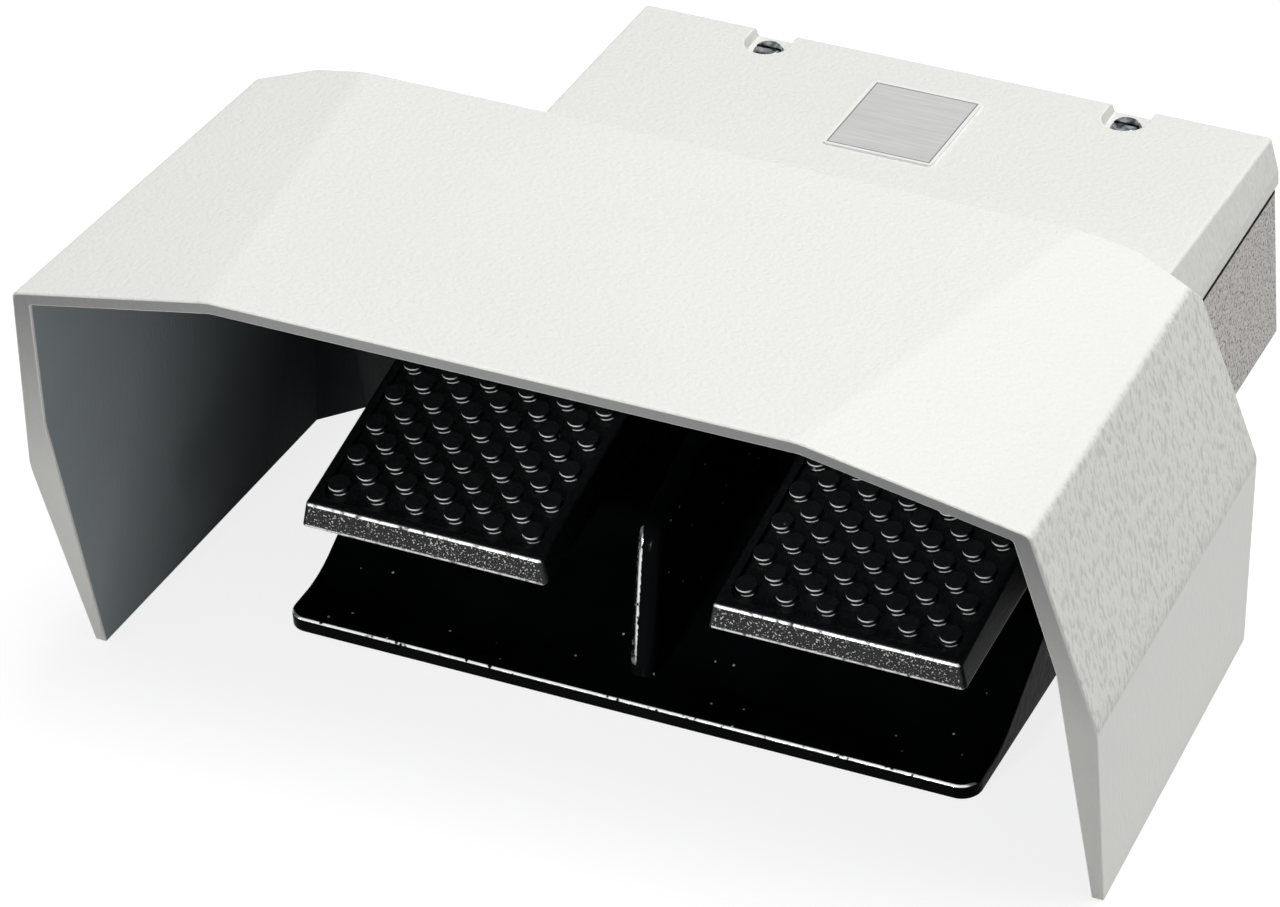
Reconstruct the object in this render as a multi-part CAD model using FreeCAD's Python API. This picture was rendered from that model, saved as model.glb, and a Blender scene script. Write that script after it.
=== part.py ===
import FreeCAD, Part
import math
import os
from FreeCAD import Vector

# Two-pedal industrial foot switch with a protective hood, in millimetres
# X runs across the pedals, Y runs from the toe end to the cable end, Z is up
# The origin lies on the floor, in the middle of the switch's outline

# Outline
overall_depth = 294.0
front_y = -overall_depth / 2
rear_y = overall_depth / 2
floor_gap = 0.5
reach = 600.0

# How far joined solids overlap, and how far a cut passes the face it opens
overlap = 1.0
past = 5.0

# Protective hood, all half widths and heights of its folded outer skin
hood_wall = 4.5
bulge_half_width = 163.9
bulge_height = 71.6
crown_inset = 75.9
crown_half_width = bulge_half_width - crown_inset
crown_height = 158.4
crown_spread = 28.0
shoulder_inset = 11.4
shoulder_half_width = bulge_half_width - shoulder_inset
shoulder_drop = 15.1
shoulder_height = crown_height - shoulder_drop
foot_inset = 5.5
foot_half_width = bulge_half_width - foot_inset
front_lean = 0.18
roof_depth = 133.8
rear_crown_drop = 15.1
rear_crown_height = crown_height - rear_crown_drop
rear_shoulder_inset = 18.9
rear_shoulder_half_width = bulge_half_width - rear_shoulder_inset
rear_shoulder_drop = 23.0
rear_shoulder_height = crown_height - rear_shoulder_drop
rear_bulge_inset = 8.1
rear_bulge_half_width = bulge_half_width - rear_bulge_inset
rear_bulge_drop = 5.6
rear_bulge_height = bulge_height - rear_bulge_drop
rear_corner_setback = 16.0
corner_chamfer = 12.0
crown_round = 14.0
shoulder_round = 3.0
bulge_round = 30.0
rear_corner_facet = 3.0
rim_edge_round = 0.8
rim_tolerance = 0.01

# Inner faces of the hood's wings, on the front plane: thickest at the bulge
inner_shoulder_inset = 16.6
inner_shoulder_half_width = bulge_half_width - inner_shoulder_inset
inner_shoulder_height = shoulder_height - hood_wall
inner_bend_inset = 9.9
inner_bend_half_width = bulge_half_width - inner_bend_inset
inner_bend_rise = 19.0
inner_bend_height = bulge_height + inner_bend_rise
inner_foot_inset = 9.0
inner_foot_half_width = bulge_half_width - inner_foot_inset
inner_crown_round = 9.5
inner_shoulder_round = 1.2
inner_bend_round = 12.0

# Openings and screws of the hood
hood_opening_gap = 0.5
hood_screw_radius = 3.0
hood_screw_head_radius = 5.0
hood_screw_head_height = 6.0
hood_screw_socket_radius = 2.75
hood_screw_inset = 42.9
hood_screw_x = bulge_half_width - hood_screw_inset
hood_screw_heights = (14.0, 36.0)

# Axis of both pedals, just behind the edge of the hood's roof
pivot_run = 7.0
pivot_y = front_y + roof_depth + pivot_run
pivot_z = 44.0

# Base casting
base_setback = 53.7
base_front_y = front_y + base_setback
base_half_width = 109.0
side_taper = 0.0167
base_corner_radius = 6.0
lip_thickness = 4.8
lip_length = 20.0
lip_round = 1.6
ramp_slope = 0.5
ramp_blend_radius = 34.0
ramp_end_setback = 12.8
ramp_end_y = pivot_y - ramp_end_setback
ramp_wall = 4.0
rib_thickness = 3.0
rib_positions = (-72.0, -36.0, 0.0, 36.0, 72.0)
bay_floor_thickness = 6.0
bay_run = 11.5
bay_end_y = pivot_y + bay_run
plate_thickness = 5.0
plate_end_inset = 9.0
plate_end_y = rear_y - plate_end_inset
plate_side_gap = 0.5
partition_half_thickness = 4.0
partition_setback = 11.1
partition_toe_y = base_front_y + partition_setback
partition_nose_slope = 3.7
partition_nose_height = 49.8
partition_top_slope = 0.29
partition_round = 13.0
partition_side_round = 3.2
partition_root = 2.0
mount_hole_radius = 2.5
mount_hole_depth = 8.0
mount_boss_radius = 6.5
mount_boss_height = 11.0
mount_x = 54.0
mount_front_setback = 37.8
mount_front_y = pivot_y - mount_front_setback
mount_rear_setback = 3.8
mount_rear_y = pivot_y - mount_rear_setback

# Rubber feet under the base
foot_radius = 9.0
foot_recess_depth = 1.5
foot_plug_radius = 3.0
foot_plug_length = 3.0
foot_draft = 1.0
foot_gap = 0.15
foot_x = 88.0
front_foot_inset = 12.3
middle_foot_run = 26.2
rear_foot_inset = 31.0
foot_rows = (base_front_y + front_foot_inset, pivot_y + middle_foot_run, rear_y - rear_foot_inset)

# Pedals
pedal_centre_x = 64.8
pedal_half_width = 37.9
pedal_setback = 8.1
pedal_front_y = base_front_y + pedal_setback
pedal_front_height = 42.0
pedal_slope = 0.191
pedal_length = 70.5
skirt_depth = 8.2
skirt_flare = 1.6
skirt_lean = 0.8
skirt_bottom_slope = 0.125
pedal_top_thickness = 5.0
pedal_side_thickness = 3.5
rim_round = 1.8

# Pedal shafts, their lugs and clips
shaft_radius = 4.0
shaft_running_gap = 0.05
ear_radius = 8.5
ear_thickness = 8.0
ear_offset = 25.0
ear_root_length = 24.0
ear_high_setback = 6.0
ear_low_setback = 8.0
ear_low_drop = 6.0
lug_radius = 7.5
lug_inner_x = 22.0
lug_outer_x = 98.0
lug_inner_thickness = 8.0
lug_outer_thickness = 6.0
lug_web_reach = 4.0
lug_web_height = 20.0
clip_thickness = 1.0
clip_radius = 6.2
clip_groove_depth = 0.9
clip_gap = 0.1
clip_play = 0.05
clip_mouth = 2.4
shaft_overhang = 2.2
heel_gap = 0.3
heel_rise = 1.0
heel_height = 6.5

# Cam arm and push rods
arm_thickness = 12.0
arm_root_radius = 7.0
cam_radius = 5.0
cam_drop = 22.0
cam_gap = 0.3
rod_radius = 4.0
rod_running_gap = 0.06
rod_run = 30.2
rod_rear_y = pivot_y + rod_run
rod_tip_round = 1.0
rod_collar_gap = 0.4
rod_collar_radius = 6.0
rod_collar_length = 2.0
bushing_radius = 7.0
bushing_flange_radius = 9.0
bushing_flange_thickness = 1.5
bushing_length = 13.0
rod_boss_radius = 10.0
rod_boss_setback = 0.5

# Return springs and stop buffers
spring_setback = 30.0
spring_y = pivot_y - spring_setback
spring_mean_radius = 8.4
spring_wire_radius = 1.0
spring_turns = 4.5
spring_gap = 0.2
spring_seat_radius = 11.0
spring_seat_height = 23.0
spring_cup_wall = 3.0
spring_room_radius = 10.5
spring_room_depth = 6.0
tray_seat_height = 45.0
buffer_radius = 5.2
buffer_dome_radius = 8.0
buffer_top = 39.7
buffer_height = 6.0
spring_post_radius = 4.6

# Tread pads with their staggered studs
pad_side_margin = 3.0
pad_front_margin = 3.0
pad_rear_margin = 2.5
pad_corner_radius = 5.0
pad_pocket_depth = 3.1
pad_thickness = 1.8
pad_gap = 0.3
stud_pitch = 12.5
stud_row_pitch = 6.25
stud_columns = 6
stud_rows = 10
stud_first_row = 9.3
stud_foot_radius = 3.3
stud_top_radius = 3.2
stud_height = 2.2
stud_root = 0.5

# Switch housing and its cover
housing_wall = 3.5
housing_rear_inset = 0.8
housing_rear_y = rear_y - housing_rear_inset
housing_top = 51.5
housing_floor_thickness = 4.0
housing_front_wall = 4.5
housing_edge_round = 3.0
flange_margin = 10.0
flange_half_width = hood_screw_x + flange_margin
flange_height = 46.0
flange_round = 6.0
gasket_thickness = 1.8
gasket_width = 2.0
gasket_inset = 0.8
cover_overhang = 0.3
cover_lip_height = 4.5
cover_rear_height = 69.35
cover_slope = 0.058
cover_side_inset = 2.0
cover_rear_inset = 0.5
cover_wall = 3.5
cover_edge_round = 1.2
cover_screw_x = 59.0
cover_screw_setback = 7.2
cover_screw_y = rear_y - cover_screw_setback
cover_screw_radius = 2.5
cover_screw_head_radius = 4.2
cover_screw_head_height = 3.2
cover_screw_hole_radius = 4.8
cover_screw_depth = 13.0
cover_screw_slot = 1.2
cover_slot_depth = 1.4
cover_screw_round = 0.8
screw_hole_gap = 0.25
cover_boss_radius = 7.0
cover_screw_sink = 1.6
notch_depth = 3.6
notch_half_width = 6.4
notch_draft = 0.25
notch_wall = 3.0
tab_half_width = 9.0
tab_x = 52.0
tab_depth = 5.0
tab_thickness = 3.0
tab_gap = 0.3
tab_tie_height = 6.0

# Cable entry in the rear wall, M20 x 1.5 by its core hole
entry_radius = 9.25
entry_height = 27.0
entry_boss_radius = 14.0
entry_boss_length = 8.0

# Base screws, from below into the housing floor
base_screw_x = 58.0
base_screw_run = 38.2
base_screw_inset = 35.0
base_screw_rows = (pivot_y + base_screw_run, rear_y - base_screw_inset)
base_screw_radius = 2.5
base_screw_head_radius = 4.8
base_screw_head_height = 2.6
base_screw_length = 13.0
base_screw_recess = 0.1
blind_depth = 1.0
base_screw_boss_radius = 6.0
base_screw_boss_height = 5.5

# Contact blocks inside the housing
carrier_half_width = 88.0
carrier_run = 34.2
carrier_front_y = pivot_y + carrier_run
carrier_length = 52.0
carrier_thickness = 2.0
carrier_screw_x = 32.0
block_half_width = 15.0
block_inset = 4.0
block_front_y = carrier_front_y + block_inset
block_length = 42.0
block_height = 30.0
block_step = 7.0
channel_half_width = 5.0
channel_half_height = 4.0
slide_gap = 0.25
slide_length = 36.0
slide_nose_radius = 3.0
slide_start = 2.0
channel_end_wall = 3.0
window_start = 16.0
window_length = 8.0
bridge_offset = 1.0
bridge_inset = 1.0
bridge_thickness = 1.2
boss_clearance = 1.0
terminal_screw_radius = 2.8
terminal_screw_height = 2.2
terminal_offset_x = 10.0
terminal_slot_width = 0.8
terminal_slot_depth = 1.0
small_screw_radius = 2.0
small_screw_head_radius = 3.6
small_screw_head_height = 2.4
small_screw_round = 1.0
carrier_screw_inset = 10.0
earth_screw_run = 16.0
earth_screw_y = carrier_front_y + carrier_length + earth_screw_run
earth_boss_radius = 6.0
earth_boss_height = 8.0
earth_hole_depth = 5.0
earth_screw_length = 4.0
carrier_hole_depth = 3.0
carrier_screw_length = 2.5
washer_radius = 5.0
washer_thickness = 1.0

# Bare nameplate on the cover
plate_width = 35.5
plate_length = 38.5
nameplate_thickness = 0.8
nameplate_x = -1.0
nameplate_setback = 35.7
nameplate_y = rear_y - nameplate_setback
nameplate_corner = 1.5


across = Vector(1, 0, 0)
up = Vector(0, 0, 1)


# Solids and placements shared by the pieces below

def box(x0, x1, y0, y1, z0, z1):
    return Part.makeBox(x1 - x0, y1 - y0, z1 - z0, Vector(x0, y0, z0))


def cylinder(radius, start, end):
    along = end.sub(start)
    return Part.makeCylinder(radius, along.Length, start, along)


def boss(x, y, radius, z0, z1):
    return cylinder(radius, Vector(x, y, z0), Vector(x, y, z1))


def cone(start_radius, end_radius, start, end):
    along = end.sub(start)
    return Part.makeCone(start_radius, end_radius, along.Length, start, along)


def prism(points, along):
    outline = Part.makePolygon(points + points[:1])
    return Part.Face(outline).extrude(along)


def fused(pieces):
    return pieces[0].fuse(pieces[1:]).removeSplitter()


def mirrored(shape):
    return shape.mirror(Vector(0, 0, 0), Vector(1, 0, 0))


def both_sides(shape):
    return [shape, mirrored(shape)]


def rounded(solid, radius, points):
    """Round the edges of the solid that pass closest to the given points."""
    chosen = []
    for point in points:
        spot = Part.Vertex(point)
        nearest = min(solid.Edges, key=lambda edge: spot.distToShape(edge)[0])
        chosen.append(nearest)
    return solid.makeFillet(radius, chosen)


def middle(a, b):
    return a.add(b).multiply(0.5)


def outward_plane(a, b, c, inside):
    """A plane through three points, with its normal pointing away from the inside."""
    normal = b.sub(a).cross(c.sub(a)).normalize()
    if normal.dot(inside.sub(a)) > 0:
        normal = normal.negative()
    return a, normal


def trimmed(block, planes, inset=0.0):
    """Cut away all of the block beyond each plane, moved inwards by the inset."""
    for point, normal in planes:
        beyond = Part.makeBox(2 * reach, 2 * reach, reach, Vector(-reach, -reach, 0))
        turn = FreeCAD.Rotation(Vector(0, 0, 1), normal)
        beyond.Placement = FreeCAD.Placement(point.sub(normal * inset), turn)
        block = block.cut(beyond)
    return block


def side_x(y):
    """Half width of the base casting and the switch housing at a given depth."""
    return base_half_width - (y - base_front_y) * side_taper


def mirrored_planes(planes):
    """The given planes and their mirror images."""
    return planes + [(Vector(-p.x, p.y, p.z), Vector(-n.x, n.y, n.z)) for p, n in planes]


def side_planes(extra):
    """The two tapering side planes of the base and the housing, moved out by extra."""
    near = Vector(side_x(base_front_y) + extra, base_front_y, 0)
    far = Vector(side_x(rear_y) + extra, rear_y, 0)
    return mirrored_planes([outward_plane(near, far, near + up, Vector(0, 0, 0))])


# Protective hood: a folded skin of planes, hollowed by its wall

def hood_front(z):
    return front_y + front_lean * (crown_height - z)


roof_end_y = front_y + roof_depth
rear_corner_y = roof_end_y + rear_corner_setback
rear_wall_y = rear_corner_y + corner_chamfer
hood_heart = Vector(0, (front_y + roof_end_y) / 2, bulge_height)
front_crown = Vector(crown_half_width, front_y, crown_height)
front_shoulder = Vector(shoulder_half_width, hood_front(shoulder_height), shoulder_height)
front_bulge = Vector(bulge_half_width, hood_front(bulge_height), bulge_height)
front_foot = Vector(foot_half_width, hood_front(0), 0)
rear_crown = Vector(0, roof_end_y, rear_crown_height)
rear_shoulder = Vector(rear_shoulder_half_width, roof_end_y, rear_shoulder_height)
rear_bulge = Vector(rear_bulge_half_width, rear_corner_y, rear_bulge_height)
rear_inner = rear_bulge + Vector(-corner_chamfer, corner_chamfer, 0)
inner_shoulder = Vector(inner_shoulder_half_width, hood_front(inner_shoulder_height), inner_shoulder_height)
inner_bend = Vector(inner_bend_half_width, hood_front(inner_bend_height), inner_bend_height)
inner_foot = Vector(inner_foot_half_width, hood_front(0), 0)
shoulder_run = rear_shoulder - front_shoulder
bulge_run = rear_bulge - front_bulge


def wing_planes(shoulder, bend, foot):
    """The upper and lower plane of each wing, through corner points on the hood's front."""
    upper = outward_plane(shoulder, bend, shoulder + shoulder_run, hood_heart)
    lower = outward_plane(bend, foot, bend + bulge_run, hood_heart)
    return mirrored_planes([upper, lower])


def front_plane():
    return outward_plane(front_crown, front_crown - across, front_foot, hood_heart)


def walled_planes():
    """The roof, the rear wall and the planes that fold down from them to the wings."""
    roof = outward_plane(front_crown, front_crown - across, rear_crown, hood_heart)
    wall = outward_plane(rear_inner, rear_inner - across, rear_inner + up, hood_heart)
    wall_upper = outward_plane(rear_inner, rear_inner - across, rear_crown, hood_heart)
    foot_behind = Vector(rear_bulge.x - bulge_half_width + foot_half_width, rear_bulge.y, 0)
    slope = outward_plane(front_crown, front_shoulder, rear_shoulder, hood_heart)
    corner = outward_plane(rear_bulge, rear_inner, foot_behind, hood_heart)
    corner_upper = outward_plane(rear_bulge, rear_inner, rear_shoulder, hood_heart)
    facet_normal = (slope[1] + corner_upper[1] + wall_upper[1]).normalize()
    facet = (rear_shoulder - facet_normal * rear_corner_facet, facet_normal)
    return [roof, wall, wall_upper] + mirrored_planes([slope, corner, corner_upper, facet])


def creased(skin, radius, spot):
    """Round the crease nearest to a spot, and the one on the other wing."""
    return rounded(skin, radius, [spot, Vector(-spot.x, spot.y, spot.z)])


def outer_skin():
    block = box(-reach / 2, reach / 2, -reach / 2, reach / 2, floor_gap, reach / 2)
    wings = wing_planes(front_shoulder, front_bulge, front_foot)
    skin = trimmed(block, walled_planes() + wings + [front_plane()])
    crown_behind = rear_crown + Vector(crown_half_width + crown_spread, 0, 0)
    skin = creased(skin, crown_round, middle(front_crown, crown_behind))
    skin = creased(skin, shoulder_round, front_shoulder + shoulder_run * 0.5)
    return creased(skin, bulge_round, front_bulge + bulge_run * 0.5)


def inner_skin():
    """The room inside the hood, open at the front and the floor."""
    block = box(-reach / 2, reach / 2, -reach / 2, reach / 2, -reach / 4, reach / 2)
    block = trimmed(block, walled_planes(), hood_wall)
    skin = trimmed(block, wing_planes(inner_shoulder, inner_bend, inner_foot))
    crown_behind = rear_crown + Vector(crown_half_width + crown_spread, 0, 0)
    skin = creased(skin, inner_crown_round, middle(front_crown, crown_behind) - Vector(0, 0, hood_wall))
    skin = creased(skin, inner_shoulder_round, inner_shoulder + shoulder_run * 0.5)
    return creased(skin, inner_bend_round, inner_bend + bulge_run * 0.5)


def hood_shell():
    """The hollowed skin, with the edges of its front face broken."""
    shell = outer_skin().cut(inner_skin())
    point, normal = front_plane()
    on_front = []
    for edge in shell.Edges:
        off_plane = [abs((corner.Point - point).dot(normal)) for corner in edge.Vertexes]
        if max(off_plane) < rim_tolerance:
            on_front.append(edge)
    return shell.makeFillet(rim_edge_round, on_front)


def cover_top(y):
    return cover_rear_height + (rear_y - y) * cover_slope


def hood():
    top = cover_top(rear_corner_y) + hood_opening_gap
    opening = box(-reach / 2, reach / 2, rear_corner_y, rear_wall_y + past, 0, top)
    opening = trimmed(opening, side_planes(cover_overhang + hood_opening_gap))
    shell = hood_shell().cut(opening)
    for z in hood_screw_heights:
        outside = Vector(hood_screw_x, rear_wall_y + past, z)
        inside = Vector(hood_screw_x, rear_wall_y - hood_wall - past, z)
        shell = shell.cut(both_sides(cylinder(hood_screw_radius + screw_hole_gap, outside, inside)))
    return shell


def hood_screws():
    """Hexagon socket screws through the hood's rear wall into the housing flange."""
    screws = []
    for z in hood_screw_heights:
        seat = Vector(hood_screw_x, rear_wall_y, z)
        head = cylinder(hood_screw_head_radius, seat, seat + Vector(0, hood_screw_head_height, 0))
        shank_end = Vector(hood_screw_x, rear_wall_y - hood_wall - housing_front_wall, z)
        shank = cylinder(hood_screw_radius, shank_end, seat)
        corners = []
        for k in range(6):
            turn = math.radians(60 * k)
            offset = Vector(math.cos(turn), 0, math.sin(turn)) * hood_screw_socket_radius
            corners.append(seat + Vector(0, hood_screw_head_height / 2, 0) + offset)
        socket = prism(corners, Vector(0, hood_screw_head_height, 0))
        screws += both_sides(fused([head, shank]).cut(socket))
    return Part.makeCompound(screws)


# Base casting with its ramp, bay, partition and lugs

def ramp_height(y):
    """Top of the ramp, beyond its blend with the lip."""
    return floor_gap + lip_thickness + (y - base_front_y - lip_length) * ramp_slope


def ramp_profile(inset):
    """Side view of the lip and ramp; the inset draws it in by the casting's wall."""
    lip_top = floor_gap + lip_thickness - inset
    turn = math.atan(ramp_slope)
    knee_y = base_front_y + lip_length + inset * math.tan(turn / 2)
    tangent = (ramp_blend_radius + inset) * math.tan(turn / 2)
    start = Vector(0, knee_y - tangent, lip_top)
    end = Vector(0, knee_y + tangent * math.cos(turn), lip_top + tangent * math.sin(turn))
    half = (ramp_blend_radius + inset) * math.sin(turn / 2)
    rise = (ramp_blend_radius + inset) * (1 - math.cos(turn / 2))
    mid = Vector(0, start.y + half, lip_top + rise)
    far_y = ramp_end_y - inset
    top = Vector(0, far_y, end.z + (far_y - end.y) * ramp_slope)
    return start, mid, end, top


def ramp_solid():
    start, mid, end, top = ramp_profile(0)
    low_front = Vector(0, base_front_y, floor_gap)
    high_front = Vector(0, base_front_y, start.z)
    low_rear = Vector(0, ramp_end_y, floor_gap)
    edges = [Part.makeLine(low_front, high_front), Part.makeLine(high_front, start),
             Part.Arc(start, mid, end).toShape(), Part.makeLine(end, top),
             Part.makeLine(top, low_rear), Part.makeLine(low_rear, low_front)]
    face = Part.Face(Part.Wire(edges))
    face.translate(Vector(-reach / 2, 0, 0))
    return face.extrude(Vector(reach, 0, 0))


def ramp_hollow():
    """The open underside of the ramp, between its ribs."""
    start, mid, end, top = ramp_profile(ramp_wall)
    low = floor_gap - past
    outline = [Vector(0, end.y, low), end, top, Vector(0, top.y, low)]
    bays = []
    edges = [-side_x(ramp_end_y) + ramp_wall] + list(rib_positions) + [side_x(ramp_end_y) - ramp_wall]
    for left, right in zip(edges[:-1], edges[1:]):
        start_x = left + (rib_thickness / 2 if left in rib_positions else 0)
        end_x = right - (rib_thickness / 2 if right in rib_positions else 0)
        shifted = [Vector(start_x, p.y, p.z) for p in outline]
        bays.append(prism(shifted, Vector(end_x - start_x, 0, 0)))
    return bays


def partition():
    """The upright rib between the pedals, with a round-nosed front."""
    base_z = floor_gap + lip_thickness - partition_root
    nose_y = partition_toe_y + (partition_nose_height - base_z) / partition_nose_slope
    end_y = bay_end_y
    end_z = partition_nose_height + (end_y - nose_y) * partition_top_slope
    t = partition_half_thickness
    outline = [Vector(-t, partition_toe_y, base_z), Vector(-t, nose_y, partition_nose_height),
               Vector(-t, end_y, end_z), Vector(-t, end_y, base_z)]
    rib = prism(outline, Vector(2 * t, 0, 0))
    rib = rounded(rib, partition_round, [Vector(0, nose_y, partition_nose_height)])
    nose = middle(outline[0], outline[1])
    return rounded(rib, partition_side_round, [nose, Vector(-nose.x, nose.y, nose.z)])


def lug(x0, thickness):
    """An upright lug that carries one end of a pedal shaft."""
    low = floor_gap + bay_floor_thickness - overlap
    web_top = low + lug_web_height
    x1 = x0 + thickness
    post = box(x0, x1, pivot_y - lug_radius, pivot_y + lug_radius, low, pivot_z)
    head = cylinder(lug_radius, Vector(x0, pivot_y, pivot_z), Vector(x1, pivot_y, pivot_z))
    web = prism([Vector(x0, pivot_y - lug_radius - lug_web_reach, low),
                 Vector(x0, pivot_y - lug_radius, web_top),
                 Vector(x0, pivot_y, web_top), Vector(x0, pivot_y, low)], Vector(thickness, 0, 0))
    bore = cylinder(shaft_radius + shaft_running_gap,
                    Vector(x0 - past, pivot_y, pivot_z), Vector(x1 + past, pivot_y, pivot_z))
    return fused([post, head, web]).cut(bore)


def spring_foot():
    return Vector(pedal_centre_x, spring_y, ramp_height(spring_y - spring_seat_radius) - spring_cup_wall)


def spring_cup():
    """The cup let into the ramp, with a raised front, that a return spring stands in."""
    foot = spring_foot()
    top = Vector(foot.x, foot.y, tray_seat_height)
    cup = cylinder(spring_seat_radius + spring_cup_wall, foot, top).common(ramp_solid())
    seat = cylinder(spring_seat_radius, foot, Vector(foot.x, foot.y, spring_seat_height))
    return cup.fuse(seat)


def spring_pocket():
    """The room cut for the spring, round the post that carries its stop buffer."""
    room = boss(pedal_centre_x, spring_y, spring_room_radius, spring_seat_height, tray_seat_height)
    return room.cut(spring_post())


def spring_post():
    foot = spring_foot()
    return cylinder(spring_post_radius, foot, Vector(foot.x, foot.y, buffer_top - buffer_height))


def base_casting():
    body = trimmed(ramp_solid(), side_planes(0))
    corner = Vector(side_x(base_front_y), base_front_y, floor_gap + lip_thickness / 2)
    body = rounded(body, base_corner_radius, [corner, Vector(-corner.x, corner.y, corner.z)])
    start = ramp_profile(0)[0]
    rim = [Vector(0, base_front_y, start.z),
           Vector(side_x(start.y), middle(start, Vector(0, base_front_y, 0)).y, start.z)]
    body = rounded(body, lip_round, rim)
    body = body.cut(ramp_hollow())
    bay = box(-reach / 2, reach / 2, ramp_end_y - overlap, bay_end_y,
              floor_gap, floor_gap + bay_floor_thickness)
    bay = trimmed(bay, side_planes(0))
    plate = box(-reach / 2, reach / 2, bay_end_y - overlap, plate_end_y,
                floor_gap, floor_gap + plate_thickness)
    plate = trimmed(plate, side_planes(-housing_wall - plate_side_gap))
    pieces = [body, bay, plate, partition()]
    pieces += both_sides(lug(lug_inner_x, lug_inner_thickness))
    pieces += both_sides(lug(lug_outer_x, lug_outer_thickness))
    pieces += both_sides(spring_cup())
    front_top = ramp_height(mount_front_y) - ramp_wall / 2
    rear_top = floor_gap + mount_boss_height
    pieces += both_sides(boss(mount_x, mount_front_y, mount_boss_radius, floor_gap, front_top))
    pieces += both_sides(boss(mount_x, mount_rear_y, mount_boss_radius, floor_gap, rear_top))
    body = fused(pieces).cut(both_sides(spring_pocket()))
    body = fused([body] + both_sides(spring_post()))
    for y in (mount_front_y, mount_rear_y):
        body = body.cut(both_sides(boss(mount_x, y, mount_hole_radius, 0, floor_gap + mount_hole_depth)))
    for y in foot_rows:
        recess = boss(foot_x, y, foot_radius + foot_gap, 0, floor_gap + foot_recess_depth)
        hole = boss(foot_x, y, foot_plug_radius + foot_gap, 0, floor_gap + foot_plug_length + foot_gap)
        body = body.cut(both_sides(recess) + both_sides(hole))
    for y in base_screw_rows:
        body = body.cut(both_sides(base_screw(base_screw_x, y, screw_hole_gap)))
    return body


def base_screw(x, y, gap):
    """A countersunk screw from below; the gap makes the hole that it sits in."""
    start = Vector(x, y, floor_gap + base_screw_recess)
    under_head = start + Vector(0, 0, base_screw_head_height)
    head = cone(base_screw_head_radius + gap, base_screw_radius + gap, start, under_head)
    shank = cylinder(base_screw_radius + gap, start, start + Vector(0, 0, base_screw_length))
    if gap == 0:
        return fused([head, shank])
    mouth = cylinder(base_screw_head_radius + gap, Vector(x, y, 0), start)
    return fused([head, shank, mouth])


def base_screws():
    screws = []
    for y in base_screw_rows:
        screws += both_sides(base_screw(base_screw_x, y, 0))
    return Part.makeCompound(screws)


def rubber_feet():
    feet = []
    for y in foot_rows:
        pad = cone(foot_radius - foot_draft, foot_radius, Vector(foot_x, y, 0),
                   Vector(foot_x, y, floor_gap + foot_recess_depth))
        plug = boss(foot_x, y, foot_plug_radius, 0, floor_gap + foot_plug_length)
        feet += both_sides(fused([pad, plug]))
    return Part.makeCompound(feet)


# Pedals: flared trays with hinge ears, a heel stop and a cam arm

def pedal_top(y):
    return pedal_front_height + (y - pedal_front_y) * pedal_slope


def pedal_planes():
    centre = Vector(pedal_centre_x, pedal_front_y + pedal_length / 2, pedal_front_height)
    half = pedal_half_width
    top_edge = Vector(pedal_centre_x, pedal_front_y, pedal_front_height)
    low_edge = top_edge + Vector(0, -skirt_lean, -skirt_depth)
    up_slope = Vector(0, 1, pedal_slope)
    top = outward_plane(top_edge, top_edge + across, top_edge + up_slope, centre)
    front = outward_plane(top_edge, top_edge + across, low_edge, centre)
    rear_edge = top_edge + Vector(0, pedal_length, 0)
    rear = outward_plane(rear_edge, rear_edge + across, rear_edge + up, centre)
    bottom = outward_plane(low_edge, low_edge + across, low_edge + Vector(0, 1, skirt_bottom_slope), centre)
    sides = []
    for side in (-1, 1):
        edge = top_edge + Vector(side * half, 0, 0)
        flare = Vector(side * skirt_flare, 0, -skirt_depth)
        sides.append(outward_plane(edge, edge + up_slope, edge + flare, centre))
    return top, bottom, [front, rear] + sides


def pedal_tray():
    top, bottom, walls = pedal_planes()
    block = box(0, reach / 2, -reach / 2, reach / 2, 0, reach / 2)
    outer = trimmed(block, [top, bottom] + walls)
    side_y = pedal_front_y + pedal_length / 2
    edges = [Vector(pedal_centre_x, pedal_front_y, pedal_front_height)]
    for side in (-1, 1):
        edges.append(Vector(pedal_centre_x + side * pedal_half_width, side_y, pedal_top(side_y)))
        edges.append(Vector(pedal_centre_x + side * (pedal_half_width + skirt_flare / 2), pedal_front_y,
                            pedal_front_height - skirt_depth / 2))
    outer = rounded(outer, rim_round, edges)
    inner = trimmed(trimmed(block, [top], pedal_top_thickness), walls, pedal_side_thickness)
    return outer.cut(inner)


def on_pedal(shape):
    """Move a shape from the tread's flat frame to its place on the right pedal."""
    angle = math.degrees(math.atan(pedal_slope))
    shape.rotate(Vector(0, 0, 0), Vector(1, 0, 0), angle)
    shape.translate(Vector(pedal_centre_x, pedal_front_y, pedal_front_height))
    return shape


def tread_outline(gap, z0, z1):
    """Rounded tread rectangle in the flat frame, drawn in by the gap."""
    half = pedal_half_width - pad_side_margin - gap
    length = pedal_length / math.cos(math.atan(pedal_slope))
    sheet = box(-half, half, pad_front_margin + gap, length - pad_rear_margin - gap, z0, z1)
    corners = [edge for edge in sheet.Edges if abs(edge.tangentAt(edge.FirstParameter).z) > 0.9]
    return sheet.makeFillet(pad_corner_radius - gap, corners)


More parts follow.
